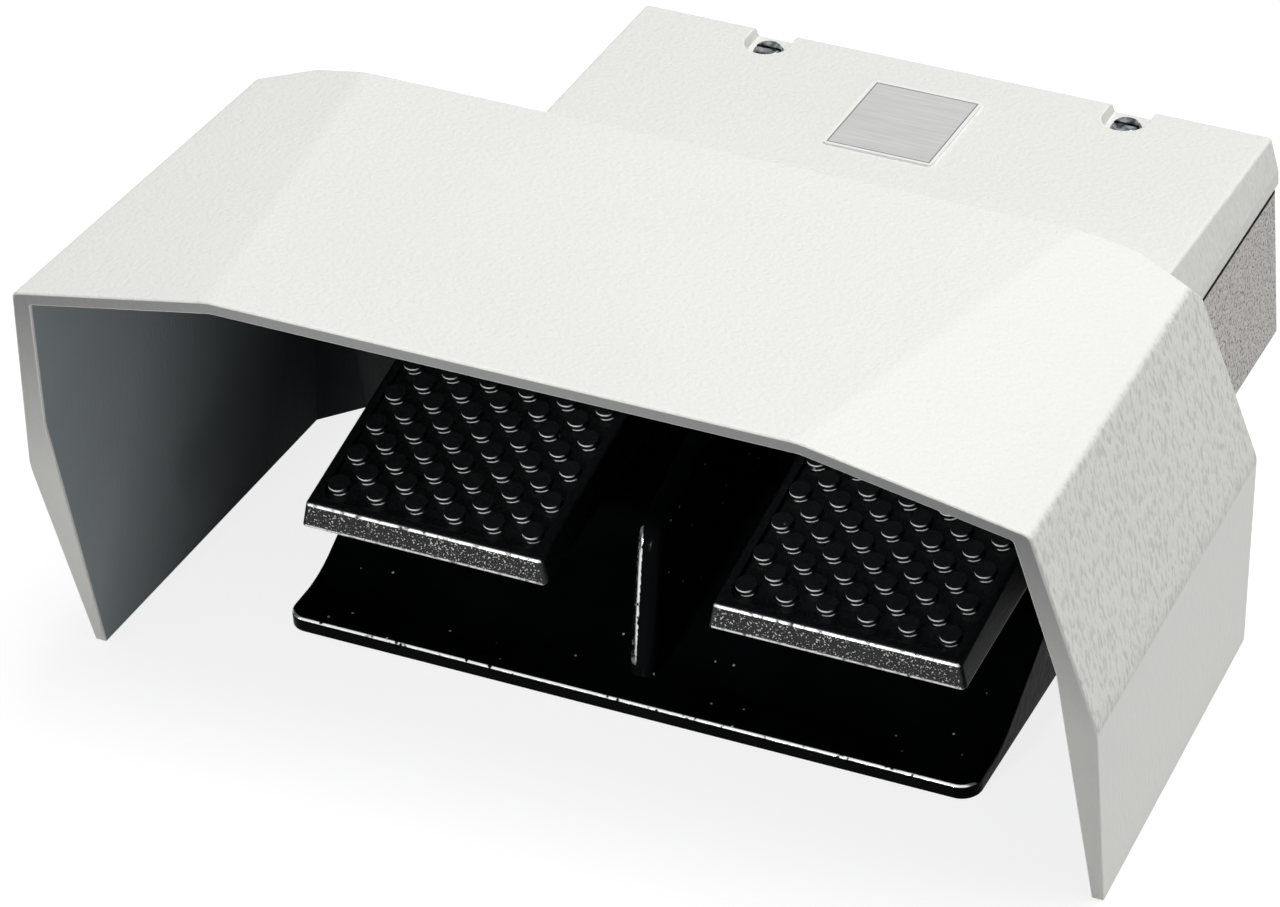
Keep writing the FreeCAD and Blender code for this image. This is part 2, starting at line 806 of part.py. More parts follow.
def ear(x, thickness):
    """A hinge ear between the tray and the shaft, at one place across the pedal."""
    x0 = x - thickness / 2
    root_y = pedal_front_y + pedal_length - ear_root_length
    high_y = pivot_y - ear_high_setback
    inside_tray = pedal_top_thickness / 2
    plate = prism([Vector(x0, root_y, pedal_top(root_y) - inside_tray),
                   Vector(x0, high_y, pedal_top(high_y) - inside_tray),
                   Vector(x0, pivot_y, pivot_z + ear_radius),
                   Vector(x0, pivot_y, pivot_z - ear_radius),
                   Vector(x0, pivot_y - ear_low_setback, pivot_z - ear_low_drop)], Vector(thickness, 0, 0))
    eye = cylinder(ear_radius, Vector(x0, pivot_y, pivot_z), Vector(x0 + thickness, pivot_y, pivot_z))
    return fused([plate, eye])


def heel(x):
    """The stop behind an ear that meets the housing when the pedal is up."""
    x0 = x - ear_thickness / 2
    stop_y = housing_front_y() - heel_gap
    low = pivot_z + heel_rise
    return box(x0, x0 + ear_thickness, pivot_y, stop_y, low, low + heel_height)


def housing_front_y():
    return rear_wall_y - hood_wall - housing_front_wall


def cam_arm():
    """The middle arm whose round nose pushes the rod into the housing."""
    x0 = pedal_centre_x - arm_thickness / 2
    x1 = x0 + arm_thickness
    nose_z = pivot_z - cam_drop
    blade = prism([Vector(x0, pivot_y - arm_root_radius, pivot_z),
                   Vector(x0, pivot_y + arm_root_radius, pivot_z),
                   Vector(x0, pivot_y + cam_radius, nose_z), Vector(x0, pivot_y - cam_radius, nose_z)],
                  Vector(arm_thickness, 0, 0))
    nose = cylinder(cam_radius, Vector(x0, pivot_y, nose_z), Vector(x1, pivot_y, nose_z))
    return fused([blade, nose])


def pedal():
    tray = pedal_tray()
    pieces = [tray]
    for offset in (-ear_offset, ear_offset):
        pieces.append(ear(pedal_centre_x + offset, ear_thickness))
        pieces.append(heel(pedal_centre_x + offset))
    pieces.append(ear(pedal_centre_x, arm_thickness))
    pieces.append(cam_arm())
    under = Vector(pedal_centre_x, spring_y, pedal_top(spring_y) - pedal_top_thickness / 2)
    pieces.append(cylinder(spring_seat_radius, Vector(under.x, under.y, tray_seat_height), under))
    body = fused(pieces)
    bore = cylinder(shaft_radius + shaft_running_gap,
                    Vector(0, pivot_y, pivot_z), Vector(2 * pedal_centre_x, pivot_y, pivot_z))
    pocket = on_pedal(tread_outline(0, -pad_pocket_depth, past))
    seat = Vector(pedal_centre_x, spring_y, tray_seat_height)
    spring_room = cylinder(spring_room_radius, seat - Vector(0, 0, spring_room_depth), seat)
    return body.cut([bore, pocket, spring_room])


def tread_pad():
    """The rubber sheet and its staggered round studs, six and five to a row."""
    sheet = tread_outline(pad_gap, -pad_pocket_depth, pad_thickness - pad_pocket_depth)
    top = pad_thickness - pad_pocket_depth
    studs = []
    for row in range(stud_rows):
        count = stud_columns - row % 2
        y = stud_first_row + row * stud_row_pitch
        for column in range(count):
            x = (column - (count - 1) / 2) * stud_pitch
            studs.append(cone(stud_foot_radius, stud_top_radius, Vector(x, y, top - stud_root),
                              Vector(x, y, top + stud_height)))
    return on_pedal(sheet.fuse(studs))


def shaft():
    """A pedal shaft with a groove for a clip near each end."""
    inner_end = lug_inner_x - shaft_overhang
    outer_end = lug_outer_x + lug_outer_thickness + shaft_overhang
    rod = cylinder(shaft_radius, Vector(inner_end, pivot_y, pivot_z), Vector(outer_end, pivot_y, pivot_z))
    for x0 in clip_places():
        start = Vector(x0, pivot_y, pivot_z)
        end = start + across * clip_thickness
        ring = cylinder(shaft_radius + overlap, start, end)
        core = cylinder(shaft_radius - clip_groove_depth, start, end)
        rod = rod.cut(ring.cut(core))
    return rod


def clip_places():
    inner = lug_inner_x - clip_gap - clip_thickness
    outer = lug_outer_x + lug_outer_thickness + clip_gap
    return (inner, outer)


def shaft_clips():
    """Open retaining rings that sit in the shaft grooves."""
    clips = []
    for x0 in clip_places():
        start = Vector(x0 + clip_play, pivot_y, pivot_z)
        end = Vector(x0 + clip_thickness - clip_play, pivot_y, pivot_z)
        ring = cylinder(clip_radius, start, end)
        hole = cylinder(shaft_radius - clip_groove_depth + clip_play, start, end)
        mouth = box(x0, x0 + clip_thickness, pivot_y - clip_mouth, pivot_y + clip_mouth,
                    pivot_z - clip_radius - overlap, pivot_z)
        clips += both_sides(ring.cut([hole, mouth]))
    return Part.makeCompound(clips)


def return_spring():
    low = spring_seat_height + spring_gap + spring_wire_radius
    high = tray_seat_height - spring_gap - spring_wire_radius
    pitch = (high - low) / spring_turns
    path = Part.makeHelix(pitch, high - low, spring_mean_radius)
    tangent = Vector(0, 2 * math.pi * spring_mean_radius, pitch)
    section = Part.makeCircle(spring_wire_radius, Vector(spring_mean_radius, 0, 0), tangent)
    wire = Part.Wire(path.Edges).makePipeShell([Part.Wire([section])], True, True)
    wire.translate(Vector(pedal_centre_x, spring_y, low))
    return wire


def stop_buffer():
    """The rubber cap on the centre post, where a pressed pedal lands."""
    start = Vector(pedal_centre_x, spring_y, buffer_top - buffer_height)
    body = cylinder(buffer_radius, start, start + Vector(0, 0, buffer_height))
    dome = Part.makeSphere(buffer_dome_radius, Vector(start.x, start.y, buffer_top - buffer_dome_radius))
    return body.common(dome)


# Push rods in their guide bushings

def rod_axis(y):
    return Vector(pedal_centre_x, y, pivot_z - cam_drop)


def bushing_front_y():
    return housing_front_y() - bushing_flange_thickness


def bushing():
    flange = cylinder(bushing_flange_radius, rod_axis(bushing_front_y()), rod_axis(housing_front_y()))
    sleeve_end = bushing_front_y() + bushing_length
    sleeve = cylinder(bushing_radius, rod_axis(housing_front_y()), rod_axis(sleeve_end))
    bore = cylinder(rod_radius + rod_running_gap, rod_axis(pivot_y), rod_axis(block_front_y))
    return fused([flange, sleeve]).cut(bore)


def rod_bushings():
    return Part.makeCompound(both_sides(bushing()))


def push_rod():
    tip_y = pivot_y + cam_radius + cam_gap
    stem = cylinder(rod_radius, rod_axis(tip_y), rod_axis(rod_rear_y))
    stem = rounded(stem, rod_tip_round, [rod_axis(tip_y) + Vector(rod_radius, 0, 0)])
    collar_y = bushing_front_y() + bushing_length + rod_collar_gap
    collar = cylinder(rod_collar_radius, rod_axis(collar_y), rod_axis(collar_y + rod_collar_length))
    return fused([stem, collar])


# Switch housing with its front flange, floor bosses and cable entry

def housing_bottom():
    return floor_gap + plate_thickness


def housing_floor_top():
    return housing_bottom() + housing_floor_thickness


def housing_box():
    """The open-topped box, with a recess below for the base's plate."""
    front = housing_front_y()
    block = box(-reach / 2, reach / 2, front, housing_rear_y, floor_gap, housing_top)
    shell = trimmed(block, side_planes(0))
    corner = Vector(side_x(housing_rear_y), housing_rear_y, housing_top / 2)
    shell = rounded(shell, housing_edge_round, [corner, Vector(-corner.x, corner.y, corner.z)])
    cavity = box(-reach / 2, reach / 2, front + housing_front_wall, housing_rear_y - housing_wall,
                 housing_floor_top(), housing_top + past)
    cavity = trimmed(cavity, side_planes(-housing_wall))
    return shell.cut([cavity, plate_room()])


def plate_room():
    room = box(-reach / 2, reach / 2, housing_front_y() - past, plate_end_y + plate_side_gap,
               0, housing_bottom())
    return trimmed(room, side_planes(-housing_wall))


def housing_flange():
    """The front flange that the hood is screwed to."""
    front = housing_front_y()
    sheet = box(-flange_half_width, flange_half_width, front, front + housing_front_wall,
                floor_gap, flange_height)
    y = front + housing_front_wall / 2
    corners = [Vector(s * flange_half_width, y, z) for s in (-1, 1) for z in (floor_gap, flange_height)]
    return rounded(sheet, flange_round, corners).cut(plate_room())


def housing_bosses():
    low = housing_floor_top() - overlap
    bosses = [boss(0, earth_screw_y, earth_boss_radius, low, earth_boss_top())]
    bosses += both_sides(boss(cover_screw_x, cover_screw_y, cover_boss_radius, low, housing_top))
    for y in base_screw_rows:
        top = housing_floor_top() + base_screw_boss_height
        bosses += both_sides(boss(base_screw_x, y, base_screw_boss_radius, low, top))
    rod_boss_end = bushing_front_y() + bushing_length - rod_boss_setback
    bosses += both_sides(cylinder(rod_boss_radius, rod_axis(housing_front_y()), rod_axis(rod_boss_end)))
    entry_start = Vector(0, housing_rear_y - housing_wall - entry_boss_length, entry_height)
    bosses.append(cylinder(entry_boss_radius, entry_start, Vector(0, housing_rear_y - overlap, entry_height)))
    return bosses


def housing_holes():
    front = housing_front_y()
    holes = both_sides(cylinder(bushing_radius, rod_axis(front - past), rod_axis(block_front_y)))
    entry_start = Vector(0, housing_rear_y - housing_wall - entry_boss_length - past, entry_height)
    holes.append(cylinder(entry_radius, entry_start, Vector(0, housing_rear_y + past, entry_height)))
    low = housing_top - cover_screw_depth
    holes += both_sides(boss(cover_screw_x, cover_screw_y, cover_screw_radius, low, housing_top + past))
    for y in base_screw_rows:
        top = floor_gap + base_screw_length + blind_depth
        holes += both_sides(boss(base_screw_x, y, base_screw_radius, 0, top))
    holes.append(boss(0, earth_screw_y, small_screw_radius, earth_boss_top() - earth_hole_depth,
                      earth_boss_top() + past))
    for z in hood_screw_heights:
        start = Vector(hood_screw_x, front - past, z)
        end = Vector(hood_screw_x, front + housing_front_wall + past, z)
        holes += both_sides(cylinder(hood_screw_radius, start, end))
    for y in carrier_screw_rows():
        low = housing_floor_top() - carrier_hole_depth
        holes += both_sides(boss(carrier_screw_x, y, small_screw_radius, low, housing_floor_top() + past))
    return holes


def switch_housing():
    return fused([housing_box(), housing_flange()] + housing_bosses()).cut(housing_holes())


def cover_gasket():
    """The flat rubber ring on the housing's rim, under the cover."""
    front = housing_front_y()
    outer = box(-reach / 2, reach / 2, front + gasket_inset, housing_rear_y - gasket_inset,
                housing_top, housing_top + gasket_thickness)
    outer = trimmed(outer, side_planes(-gasket_inset))
    edge = gasket_inset + gasket_width
    inner = box(-reach / 2, reach / 2, front + edge, housing_rear_y - edge,
                housing_top - past, housing_top + past)
    inner = trimmed(inner, side_planes(-edge))
    return outer.cut(inner)


def cover_bottom():
    return housing_top + gasket_thickness


def cover_shape_planes():
    """Top, leaning sides and leaning rear of the cover, above its lip."""
    lip_top = cover_bottom() + cover_lip_height
    heart = Vector(0, 0, lip_top)
    rise = cover_rear_height - lip_top
    top_point = Vector(0, rear_y, cover_rear_height)
    top = outward_plane(top_point, top_point + across, top_point + Vector(0, -1, cover_slope), heart)
    near = Vector(side_x(base_front_y) + cover_overhang, base_front_y, lip_top)
    far = Vector(side_x(rear_y) + cover_overhang, rear_y, lip_top)
    side = outward_plane(near, far, far + Vector(-cover_side_inset, 0, rise), heart)
    rear_low = Vector(0, rear_y, lip_top)
    rear = outward_plane(rear_low, rear_low + across, rear_low + Vector(0, -cover_rear_inset, rise), heart)
    return [top, rear] + mirrored_planes([side])


def cover_body(inset, bottom):
    """The cover's outer form, or the room inside it when drawn in by the inset."""
    block = box(-reach / 2, reach / 2, housing_front_y() + inset, rear_y - inset, bottom, reach / 2)
    block = trimmed(block, side_planes(cover_overhang - inset))
    return trimmed(block, cover_shape_planes(), inset)


def cover_tabs():
    """Two tabs that hook behind the housing's front wall, with their ties to the cover."""
    front = housing_front_y() + housing_front_wall + tab_gap
    x0 = tab_x - tab_half_width
    x1 = tab_x + tab_half_width
    top = cover_bottom() + tab_tie_height
    tab = box(x0, x1, front, front + tab_thickness, cover_bottom() - tab_depth, top)
    tie = box(x0, x1, housing_front_y() + overlap, front + tab_thickness, cover_bottom(), top)
    return both_sides(tab) + both_sides(tie)


def notch():
    """One drafted screw recess, round in front and open to the cover's rear edge."""
    floor_z = cover_top(cover_screw_y) - notch_depth
    rise = 3 * notch_depth
    low = notch_half_width
    high = notch_half_width + rise * notch_draft
    round_end = cone(low, high, Vector(cover_screw_x, cover_screw_y, floor_z),
                     Vector(cover_screw_x, cover_screw_y, floor_z + rise))
    profile = [Vector(cover_screw_x - low, cover_screw_y, floor_z),
               Vector(cover_screw_x + low, cover_screw_y, floor_z),
               Vector(cover_screw_x + high, cover_screw_y, floor_z + rise),
               Vector(cover_screw_x - high, cover_screw_y, floor_z + rise)]
    return fused([round_end, prism(profile, Vector(0, rear_y, 0))])


def cover_screw_seat():
    return cover_top(cover_screw_y) - notch_depth - cover_screw_sink


def rounded_cover():
    """The cover's outer form with its top and rear corners rounded."""
    outer = cover_body(0, cover_bottom())
    y = (rear_y + housing_front_y()) / 2
    side_edge = Vector(side_x(y) + cover_overhang - cover_side_inset, y, cover_top(y))
    lip_corner = Vector(side_x(rear_y) + cover_overhang, rear_y, cover_bottom() + cover_lip_height / 2)
    upper_corner = lip_corner + Vector(-cover_side_inset / 2, -cover_rear_inset / 2, cover_lip_height * 2)
    edges = [Vector(0, rear_y - cover_rear_inset, cover_rear_height)]
    for spot in (side_edge, lip_corner, upper_corner):
        edges += [spot, Vector(-spot.x, spot.y, spot.z)]
    return rounded(outer, cover_edge_round, edges)


def housing_cover():
    """The cover with its inner bosses, front tabs and screw notches."""
    shell = rounded_cover().cut(cover_body(cover_wall, cover_bottom() - past))
    floor_z = cover_top(cover_screw_y) - notch_depth
    bosses = both_sides(boss(cover_screw_x, cover_screw_y, cover_boss_radius, cover_bottom(), floor_z))
    around = notch_half_width + notch_wall
    blocks = both_sides(box(cover_screw_x - around, cover_screw_x + around, cover_screw_y - around,
                            rear_y - cover_wall / 2, floor_z - cover_wall, floor_z + notch_depth / 2))
    body = fused([shell] + bosses + blocks + cover_tabs())
    counterbore = boss(cover_screw_x, cover_screw_y, cover_screw_hole_radius,
                       cover_screw_seat(), floor_z + overlap)
    hole = boss(cover_screw_x, cover_screw_y, cover_screw_radius + screw_hole_gap, 0, floor_z)
    return body.cut(both_sides(notch()) + both_sides(counterbore) + both_sides(hole))


def cover_screws():
    """Slotted cheese-head screws, sunk in the cover's notches."""
    seat_z = cover_screw_seat()
    head_top = seat_z + cover_screw_head_height
    head = boss(cover_screw_x, cover_screw_y, cover_screw_head_radius, seat_z, head_top)
    rim = Vector(cover_screw_x + cover_screw_head_radius, cover_screw_y, head_top)
    head = rounded(head, cover_screw_round, [rim])
    low = housing_top - cover_screw_depth + blind_depth
    shank = boss(cover_screw_x, cover_screw_y, cover_screw_radius, low, seat_z)
    half = cover_screw_slot / 2
    slot = box(cover_screw_x - past, cover_screw_x + past, cover_screw_y - half, cover_screw_y + half,
               head_top - cover_slot_depth, head_top + overlap)
    return Part.makeCompound(both_sides(fused([head, shank]).cut(slot)))


def nameplate():
    """The bare plate on the sloping top of the cover."""
    half_width = plate_width / 2
    half_length = plate_length / 2
    sheet = box(-half_width, half_width, -half_length, half_length, 0, nameplate_thickness)
    corners = [edge for edge in sheet.Edges if abs(edge.tangentAt(edge.FirstParameter).z) > 0.9]
    sheet = sheet.makeFillet(nameplate_corner, corners)
    sheet.rotate(Vector(0, 0, 0), Vector(1, 0, 0), -math.degrees(math.atan(cover_slope)))
    sheet.translate(Vector(nameplate_x, nameplate_y, cover_top(nameplate_y)))
    return sheet


# Contact blocks, their carrier plate and small screws

def carrier_screw_rows():
    return (carrier_front_y + carrier_screw_inset, carrier_front_y + carrier_length - carrier_screw_inset)


def carrier_top():
    return housing_floor_top() + carrier_thickness


def contact_carrier():
    """The steel plate on the housing floor that carries both contact blocks."""
    sheet = box(-carrier_half_width, carrier_half_width, carrier_front_y, carrier_front_y + carrier_length,
                housing_floor_top(), carrier_top())
    cuts = []
    top = carrier_top() + past
    for y in base_screw_rows:
        cuts += both_sides(boss(base_screw_x, y, base_screw_boss_radius + boss_clearance, 0, top))
    for y in carrier_screw_rows():
        cuts += both_sides(boss(carrier_screw_x, y, small_screw_radius + screw_hole_gap, 0, top))
    return sheet.cut(cuts)


def contact_block():
    """A stepped contact block with a channel for its slide."""
    x0 = pedal_centre_x - block_half_width
    x1 = pedal_centre_x + block_half_width
    rear = block_front_y + block_length
    top = carrier_top() + block_height
    body = box(x0, x1, block_front_y, rear, carrier_top(), top)
    shoulder = top - block_step
    step_end = block_front_y + block_step
    front_step = box(x0 - past, x1 + past, block_front_y - past, step_end, shoulder, top + past)
    rear_step = box(x0 - past, x1 + past, rear - block_step, rear + past, shoulder, top + past)
    axis_z = pivot_z - cam_drop
    channel = box(pedal_centre_x - channel_half_width, pedal_centre_x + channel_half_width,
                  block_front_y - past, rear - channel_end_wall,
                  axis_z - channel_half_height, axis_z + channel_half_height)
    window_y = block_front_y + window_start
    window = box(x0 - past, x1 + past, window_y, window_y + window_length,
                 axis_z - channel_half_height, axis_z + channel_half_height)
    relief = boss(base_screw_x, base_screw_rows[0], base_screw_boss_radius + boss_clearance, 0,
                  housing_floor_top() + base_screw_boss_height + boss_clearance)
    return body.cut([front_step, rear_step, channel, window, relief])


def contact_slide():
    """The sliding bar with its contact bridge, pushed by the rod."""
    axis_z = pivot_z - cam_drop
    w = channel_half_width - slide_gap
    h = channel_half_height - slide_gap
    x = pedal_centre_x
    bar = box(x - w, x + w, block_front_y + slide_start, rod_rear_y + slide_length, axis_z - h, axis_z + h)
    nose = cylinder(slide_nose_radius, rod_axis(rod_rear_y), rod_axis(block_front_y + slide_start + overlap))
    reach_x = block_half_width - bridge_inset
    bridge_y = block_front_y + window_start + bridge_offset
    bridge = box(x - reach_x, x + reach_x, bridge_y, bridge_y + bridge_thickness, axis_z - h, axis_z + h)
    return fused([bar, nose, bridge])


def terminal_screws():
    screws = []
    shoulder = carrier_top() + block_height - block_step
    top = shoulder + terminal_screw_height
    half = terminal_slot_width / 2
    for y in (block_front_y + block_step / 2, block_front_y + block_length - block_step / 2):
        for x in (pedal_centre_x - terminal_offset_x, pedal_centre_x + terminal_offset_x):
            head = boss(x, y, terminal_screw_radius, shoulder, top)
            slot = box(x - past, x + past, y - half, y + half, top - terminal_slot_depth, top + overlap)
            screws += both_sides(head.cut(slot))
    return Part.makeCompound(screws)


def pan_screw(x, y, seat_z, depth):
    head = boss(x, y, small_screw_head_radius, seat_z, seat_z + small_screw_head_height)
    rim = Vector(x + small_screw_head_radius, y, seat_z + small_screw_head_height)
    head = rounded(head, small_screw_round, [rim])
    shank = boss(x, y, small_screw_radius, seat_z - depth, seat_z)
    return fused([head, shank])


def carrier_screws():
    screws = []
    depth = carrier_thickness + carrier_screw_length
    for y in carrier_screw_rows():
        screws += both_sides(pan_screw(carrier_screw_x, y, carrier_top(), depth))
    return Part.makeCompound(screws)


def earth_boss_top():
    return housing_floor_top() + earth_boss_height


def earth_screw():
    seat_z = earth_boss_top() + washer_thickness
    return pan_screw(0, earth_screw_y, seat_z, washer_thickness + earth_screw_length)


def earth_washer():
    ring = boss(0, earth_screw_y, washer_radius, earth_boss_top(), earth_boss_top() + washer_thickness)
    return ring.cut(boss(0, earth_screw_y, small_screw_radius + screw_hole_gap, 0, earth_boss_top() + past))


# Write one file for each piece

pieces = {
    "base_casting": base_casting(),
    "base_screws": base_screws(),
    "rubber_feet": rubber_feet(),
    "hood": hood(),
    "hood_screws": hood_screws(),
    "switch_housing": switch_housing(),
    "cover_gasket": cover_gasket(),
    "housing_cover": housing_cover(),
    "cover_screws": cover_screws(),
    "nameplate": nameplate(),
    "rod_bushings": rod_bushings(),
    "shaft_clips": shaft_clips(),
    "contact_carrier": contact_carrier(),
    "carrier_screws": carrier_screws(),
    "terminal_screws": terminal_screws(),
    "earth_screw": earth_screw(),
    "earth_washer": earth_washer(),
}

paired_pieces = {
    "pedal": pedal(),
    "tread_pad": tread_pad(),
    "pedal_shaft": shaft(),
    "return_spring": return_spring(),
    "stop_buffer": stop_buffer(),
    "push_rod": push_rod(),
    "contact_block": contact_block(),
    "contact_slide": contact_slide(),
}
for name, shape in paired_pieces.items():
    pieces[name + "_right"] = shape
    pieces[name + "_left"] = mirrored(shape)

os.makedirs("parts", exist_ok=True)
for name, shape in pieces.items():
    shape.exportStep("parts/" + name + ".step")
    print(name, "solids", len(shape.Solids), "valid", shape.isValid(), "mm3", round(shape.Volume))
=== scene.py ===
# %% [markdown]
# # A two-pedal industrial foot switch
# The object is a heavy foot switch for a machine: a black cast base with two hinged pedals, a folded
# hood over them that keeps falling tools off, and a covered switch box behind.
# The imported CAD model gives every shape in metres. This lesson dresses it: a camera, plain light,
# one finish for each real material, and coiled return springs in place of the imported ones.

# %% Load the imported model
import bpy
import bmesh
import math
from mathutils import Matrix, Vector


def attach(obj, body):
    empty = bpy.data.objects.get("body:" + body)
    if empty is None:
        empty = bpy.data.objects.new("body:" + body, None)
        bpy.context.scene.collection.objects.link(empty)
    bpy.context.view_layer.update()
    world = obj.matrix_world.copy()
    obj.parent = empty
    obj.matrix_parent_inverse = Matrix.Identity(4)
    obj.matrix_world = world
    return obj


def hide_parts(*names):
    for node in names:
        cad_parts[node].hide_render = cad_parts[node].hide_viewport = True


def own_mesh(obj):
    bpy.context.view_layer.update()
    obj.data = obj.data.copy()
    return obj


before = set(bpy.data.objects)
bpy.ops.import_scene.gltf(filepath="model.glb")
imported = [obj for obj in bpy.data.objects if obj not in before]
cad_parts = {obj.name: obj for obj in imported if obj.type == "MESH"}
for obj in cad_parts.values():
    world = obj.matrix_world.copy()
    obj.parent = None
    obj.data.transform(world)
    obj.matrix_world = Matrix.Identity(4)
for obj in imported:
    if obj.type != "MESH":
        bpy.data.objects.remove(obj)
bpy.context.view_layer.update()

# %% [markdown]
# ## Camera
# A long lens from the front right, above the hood, leaning slightly to the left.
# A long lens keeps the hood's edges nearly parallel, which is how product pictures are taken.
# It's placed by two angles, a distance and a lean, so each can be changed alone.

# %% Camera
azimuth = math.radians(28.567)
elevation = math.radians(36.880)
lean = math.radians(-4.587)
distance = 1.9517
aim = Vector((0.0021, -0.0746, 0.0804))
sensor_width = 36.0
image_width = 1280
focal_pixels = 6990.7
far_limit = 20


def put(name, data):
    """A new object with the given data, linked to the scene."""
    thing = bpy.data.objects.new(name, data)
    bpy.context.scene.collection.objects.link(thing)
    return thing


right = Vector((math.cos(azimuth), math.sin(azimuth), 0))
forward = Vector((-math.sin(azimuth) * math.cos(elevation),
                  math.cos(azimuth) * math.cos(elevation),
                  -math.sin(elevation)))
down = forward.cross(right)
leaning_right = right * math.cos(lean) - down * math.sin(lean)
leaning_down = right * math.sin(lean) + down * math.cos(lean)

camera_data = bpy.data.cameras.new("product_camera")
camera_data.sensor_width = sensor_width
camera_data.lens = focal_pixels / image_width * sensor_width
camera_data.clip_end = far_limit
camera = put("product_camera", camera_data)
camera_turn = Matrix((leaning_right, -leaning_down, -forward)).transposed().to_4x4()
camera.matrix_world = Matrix.Translation(aim - forward * distance) @ camera_turn
bpy.context.scene.camera = camera
bpy.context.scene.view_settings.view_transform = "Standard"
print("lens", round(camera_data.lens, 1), "mm at", [round(v, 4) for v in camera.location])

# %% [markdown]
# ## Nodes and colours
# Real paints are given as sRGB hex codes, while the shaders work with linear light.
# One function turns a code into linear values, and one adds a node with its settings and links.

# %% Colour and node helpers
def linear(code, alpha=1.0):
    """An sRGB hex code as linear red, green, blue and alpha."""
    channels = [int(code[k:k + 2], 16) / 255 for k in (0, 2, 4)]
    return [c / 12.92 if c <= 0.04045 else ((c + 0.055) / 1.055) ** 2.4 for c in channels] + [alpha]


def empty_tree(owner):
    """The node tree of a material or a world, without the nodes it starts with."""
    owner.use_nodes = True
    owner.node_tree.nodes.clear()
    return owner.node_tree


def add_node(tree, kind, inputs=None, **settings):
    """Add a node; inputs maps its sockets to values or to the outputs that feed them."""
    node = tree.nodes.new(kind)
    for name, value in settings.items():
        setattr(node, name, value)
    for socket, value in (inputs or {}).items():
        if isinstance(value, bpy.types.NodeSocket):
            tree.links.new(value, node.inputs[socket])
        else:
            node.inputs[socket].default_value = value
    return node


def new_finish(name, base, roughness, metallic=0.0, ior=1.5, specular=0.5):
    """A material with one shader whose place on the object is read in metres."""
    material = bpy.data.materials.new(name)
    tree = empty_tree(material)
    shader = add_node(tree, "ShaderNodeBsdfPrincipled",
                      {"Base Color": linear(base), "Roughness": roughness, "Metallic": metallic,
                       "IOR": ior, "Specular IOR Level": specular})
    add_node(tree, "ShaderNodeOutputMaterial", {"Surface": shader.outputs["BSDF"]})
    place = add_node(tree, "ShaderNodeTexCoord").outputs["Object"]
    return material, tree, shader, place


print("a mid grey, 808080, is", [round(v, 3) for v in linear("808080")])

# %% [markdown]
# ## Numbers inside a material
# A mask is a number between 0 and 1. It's made by stretching part of another number's range, and
# masks are joined by taking their product or the larger one. Noise gives patches of a known size.

# %% Numbers inside a material
finishes = {}


def calculate(tree, operation, *values):
    """One calculation with numbers or outputs, such as SUBTRACT or MAXIMUM."""
    return add_node(tree, "ShaderNodeMath", dict(enumerate(values)), operation=operation).outputs[0]


def product(tree, first, second):
    """A mask where both masks hold."""
    return calculate(tree, "MULTIPLY", first, second)


def either(tree, first, second):
    """A mask where one of two masks holds."""
    return calculate(tree, "MAXIMUM", first, second)


def spread(tree, value, low, high, to_low=0.0, to_high=1.0):
    """Stretch the part of a value between low and high to a new range, held at its ends."""
    limits = {"Value": value, "From Min": low, "From Max": high, "To Min": to_low, "To Max": to_high}
    return add_node(tree, "ShaderNodeMapRange", limits).outputs["Result"]


def band(tree, value, start, full, fading, end):
    """1 between two limits, with soft ends."""
    return product(tree, spread(tree, value, start, full), spread(tree, value, fading, end, 1.0, 0.0))


def grain(tree, place, size_mm, detail=3.0):
    """Cloudy noise whose patches are about the given size."""
    return add_node(tree, "ShaderNodeTexNoise",
                    {"Vector": place, "Scale": 500.0 / size_mm, "Detail": detail}).outputs["Fac"]


def stretched(tree, place, scale):
    """A place with scaled axes: a pattern on it is drawn out along the axes with a small factor."""
    return add_node(tree, "ShaderNodeMapping", {"Vector": place, "Scale": scale}).outputs[0]


def tint(tree, amount, first, second):
    """A colour between two colours; each is a hex code or another colour's output."""
    pick = [linear(c) if isinstance(c, str) else c for c in (first, second)]
    return add_node(tree, "ShaderNodeMix", {"Factor": amount, 6: pick[0], 7: pick[1]},
                    data_type="RGBA").outputs[2]


def relief(tree, shader, height, depth_mm, under=None):
    """Turn a height between 0 and 1 into fine relief of the given depth."""
    inputs = {"Height": height, "Distance": depth_mm / 1000, "Strength": 1.0}
    if under is not None:
        inputs["Normal"] = under
    bump = add_node(tree, "ShaderNodeBump", inputs).outputs["Normal"]
    tree.links.new(bump, shader.inputs["Normal"])
    return bump


print("noise of 1 mm has scale", 500.0 / 1)

# %% [markdown]
# ## Masks from place and direction
# Painted highlights, painted shade and wear go by place: on edges, on fronts, deep inside. These
# functions turn an axis of the object's space, a face's direction or the height over the sloping treads
# into a number.

# %% Masks from place and direction
tread_front = Vector((0, -0.0852, 0.042))
tread_slope = 0.191
flange_back = 0.0103


def axis_of(tree, vector, axis):
    """One coordinate of a place or a direction."""
    return add_node(tree, "ShaderNodeSeparateXYZ", {0: vector}).outputs[axis]


def facing(tree):
    """The direction that a face looks in, in the object's own space."""
    return add_node(tree, "ShaderNodeTexCoord").outputs["Normal"]


def dot(tree, first, second):
    """How far one direction or place goes along another."""
    return add_node(tree, "ShaderNodeVectorMath", {0: first, 1: second},
                    operation="DOT_PRODUCT").outputs["Value"]


def over_tread(tree, place):
    """Height over the sloping plane of the pedals' rims, in metres."""
    rise = calculate(tree, "MULTIPLY_ADD",
                     axis_of(tree, place, "Y"), -tread_slope, axis_of(tree, place, "Z"))
    return calculate(tree, "SUBTRACT", rise, tread_front.z - tread_front.y * tread_slope)


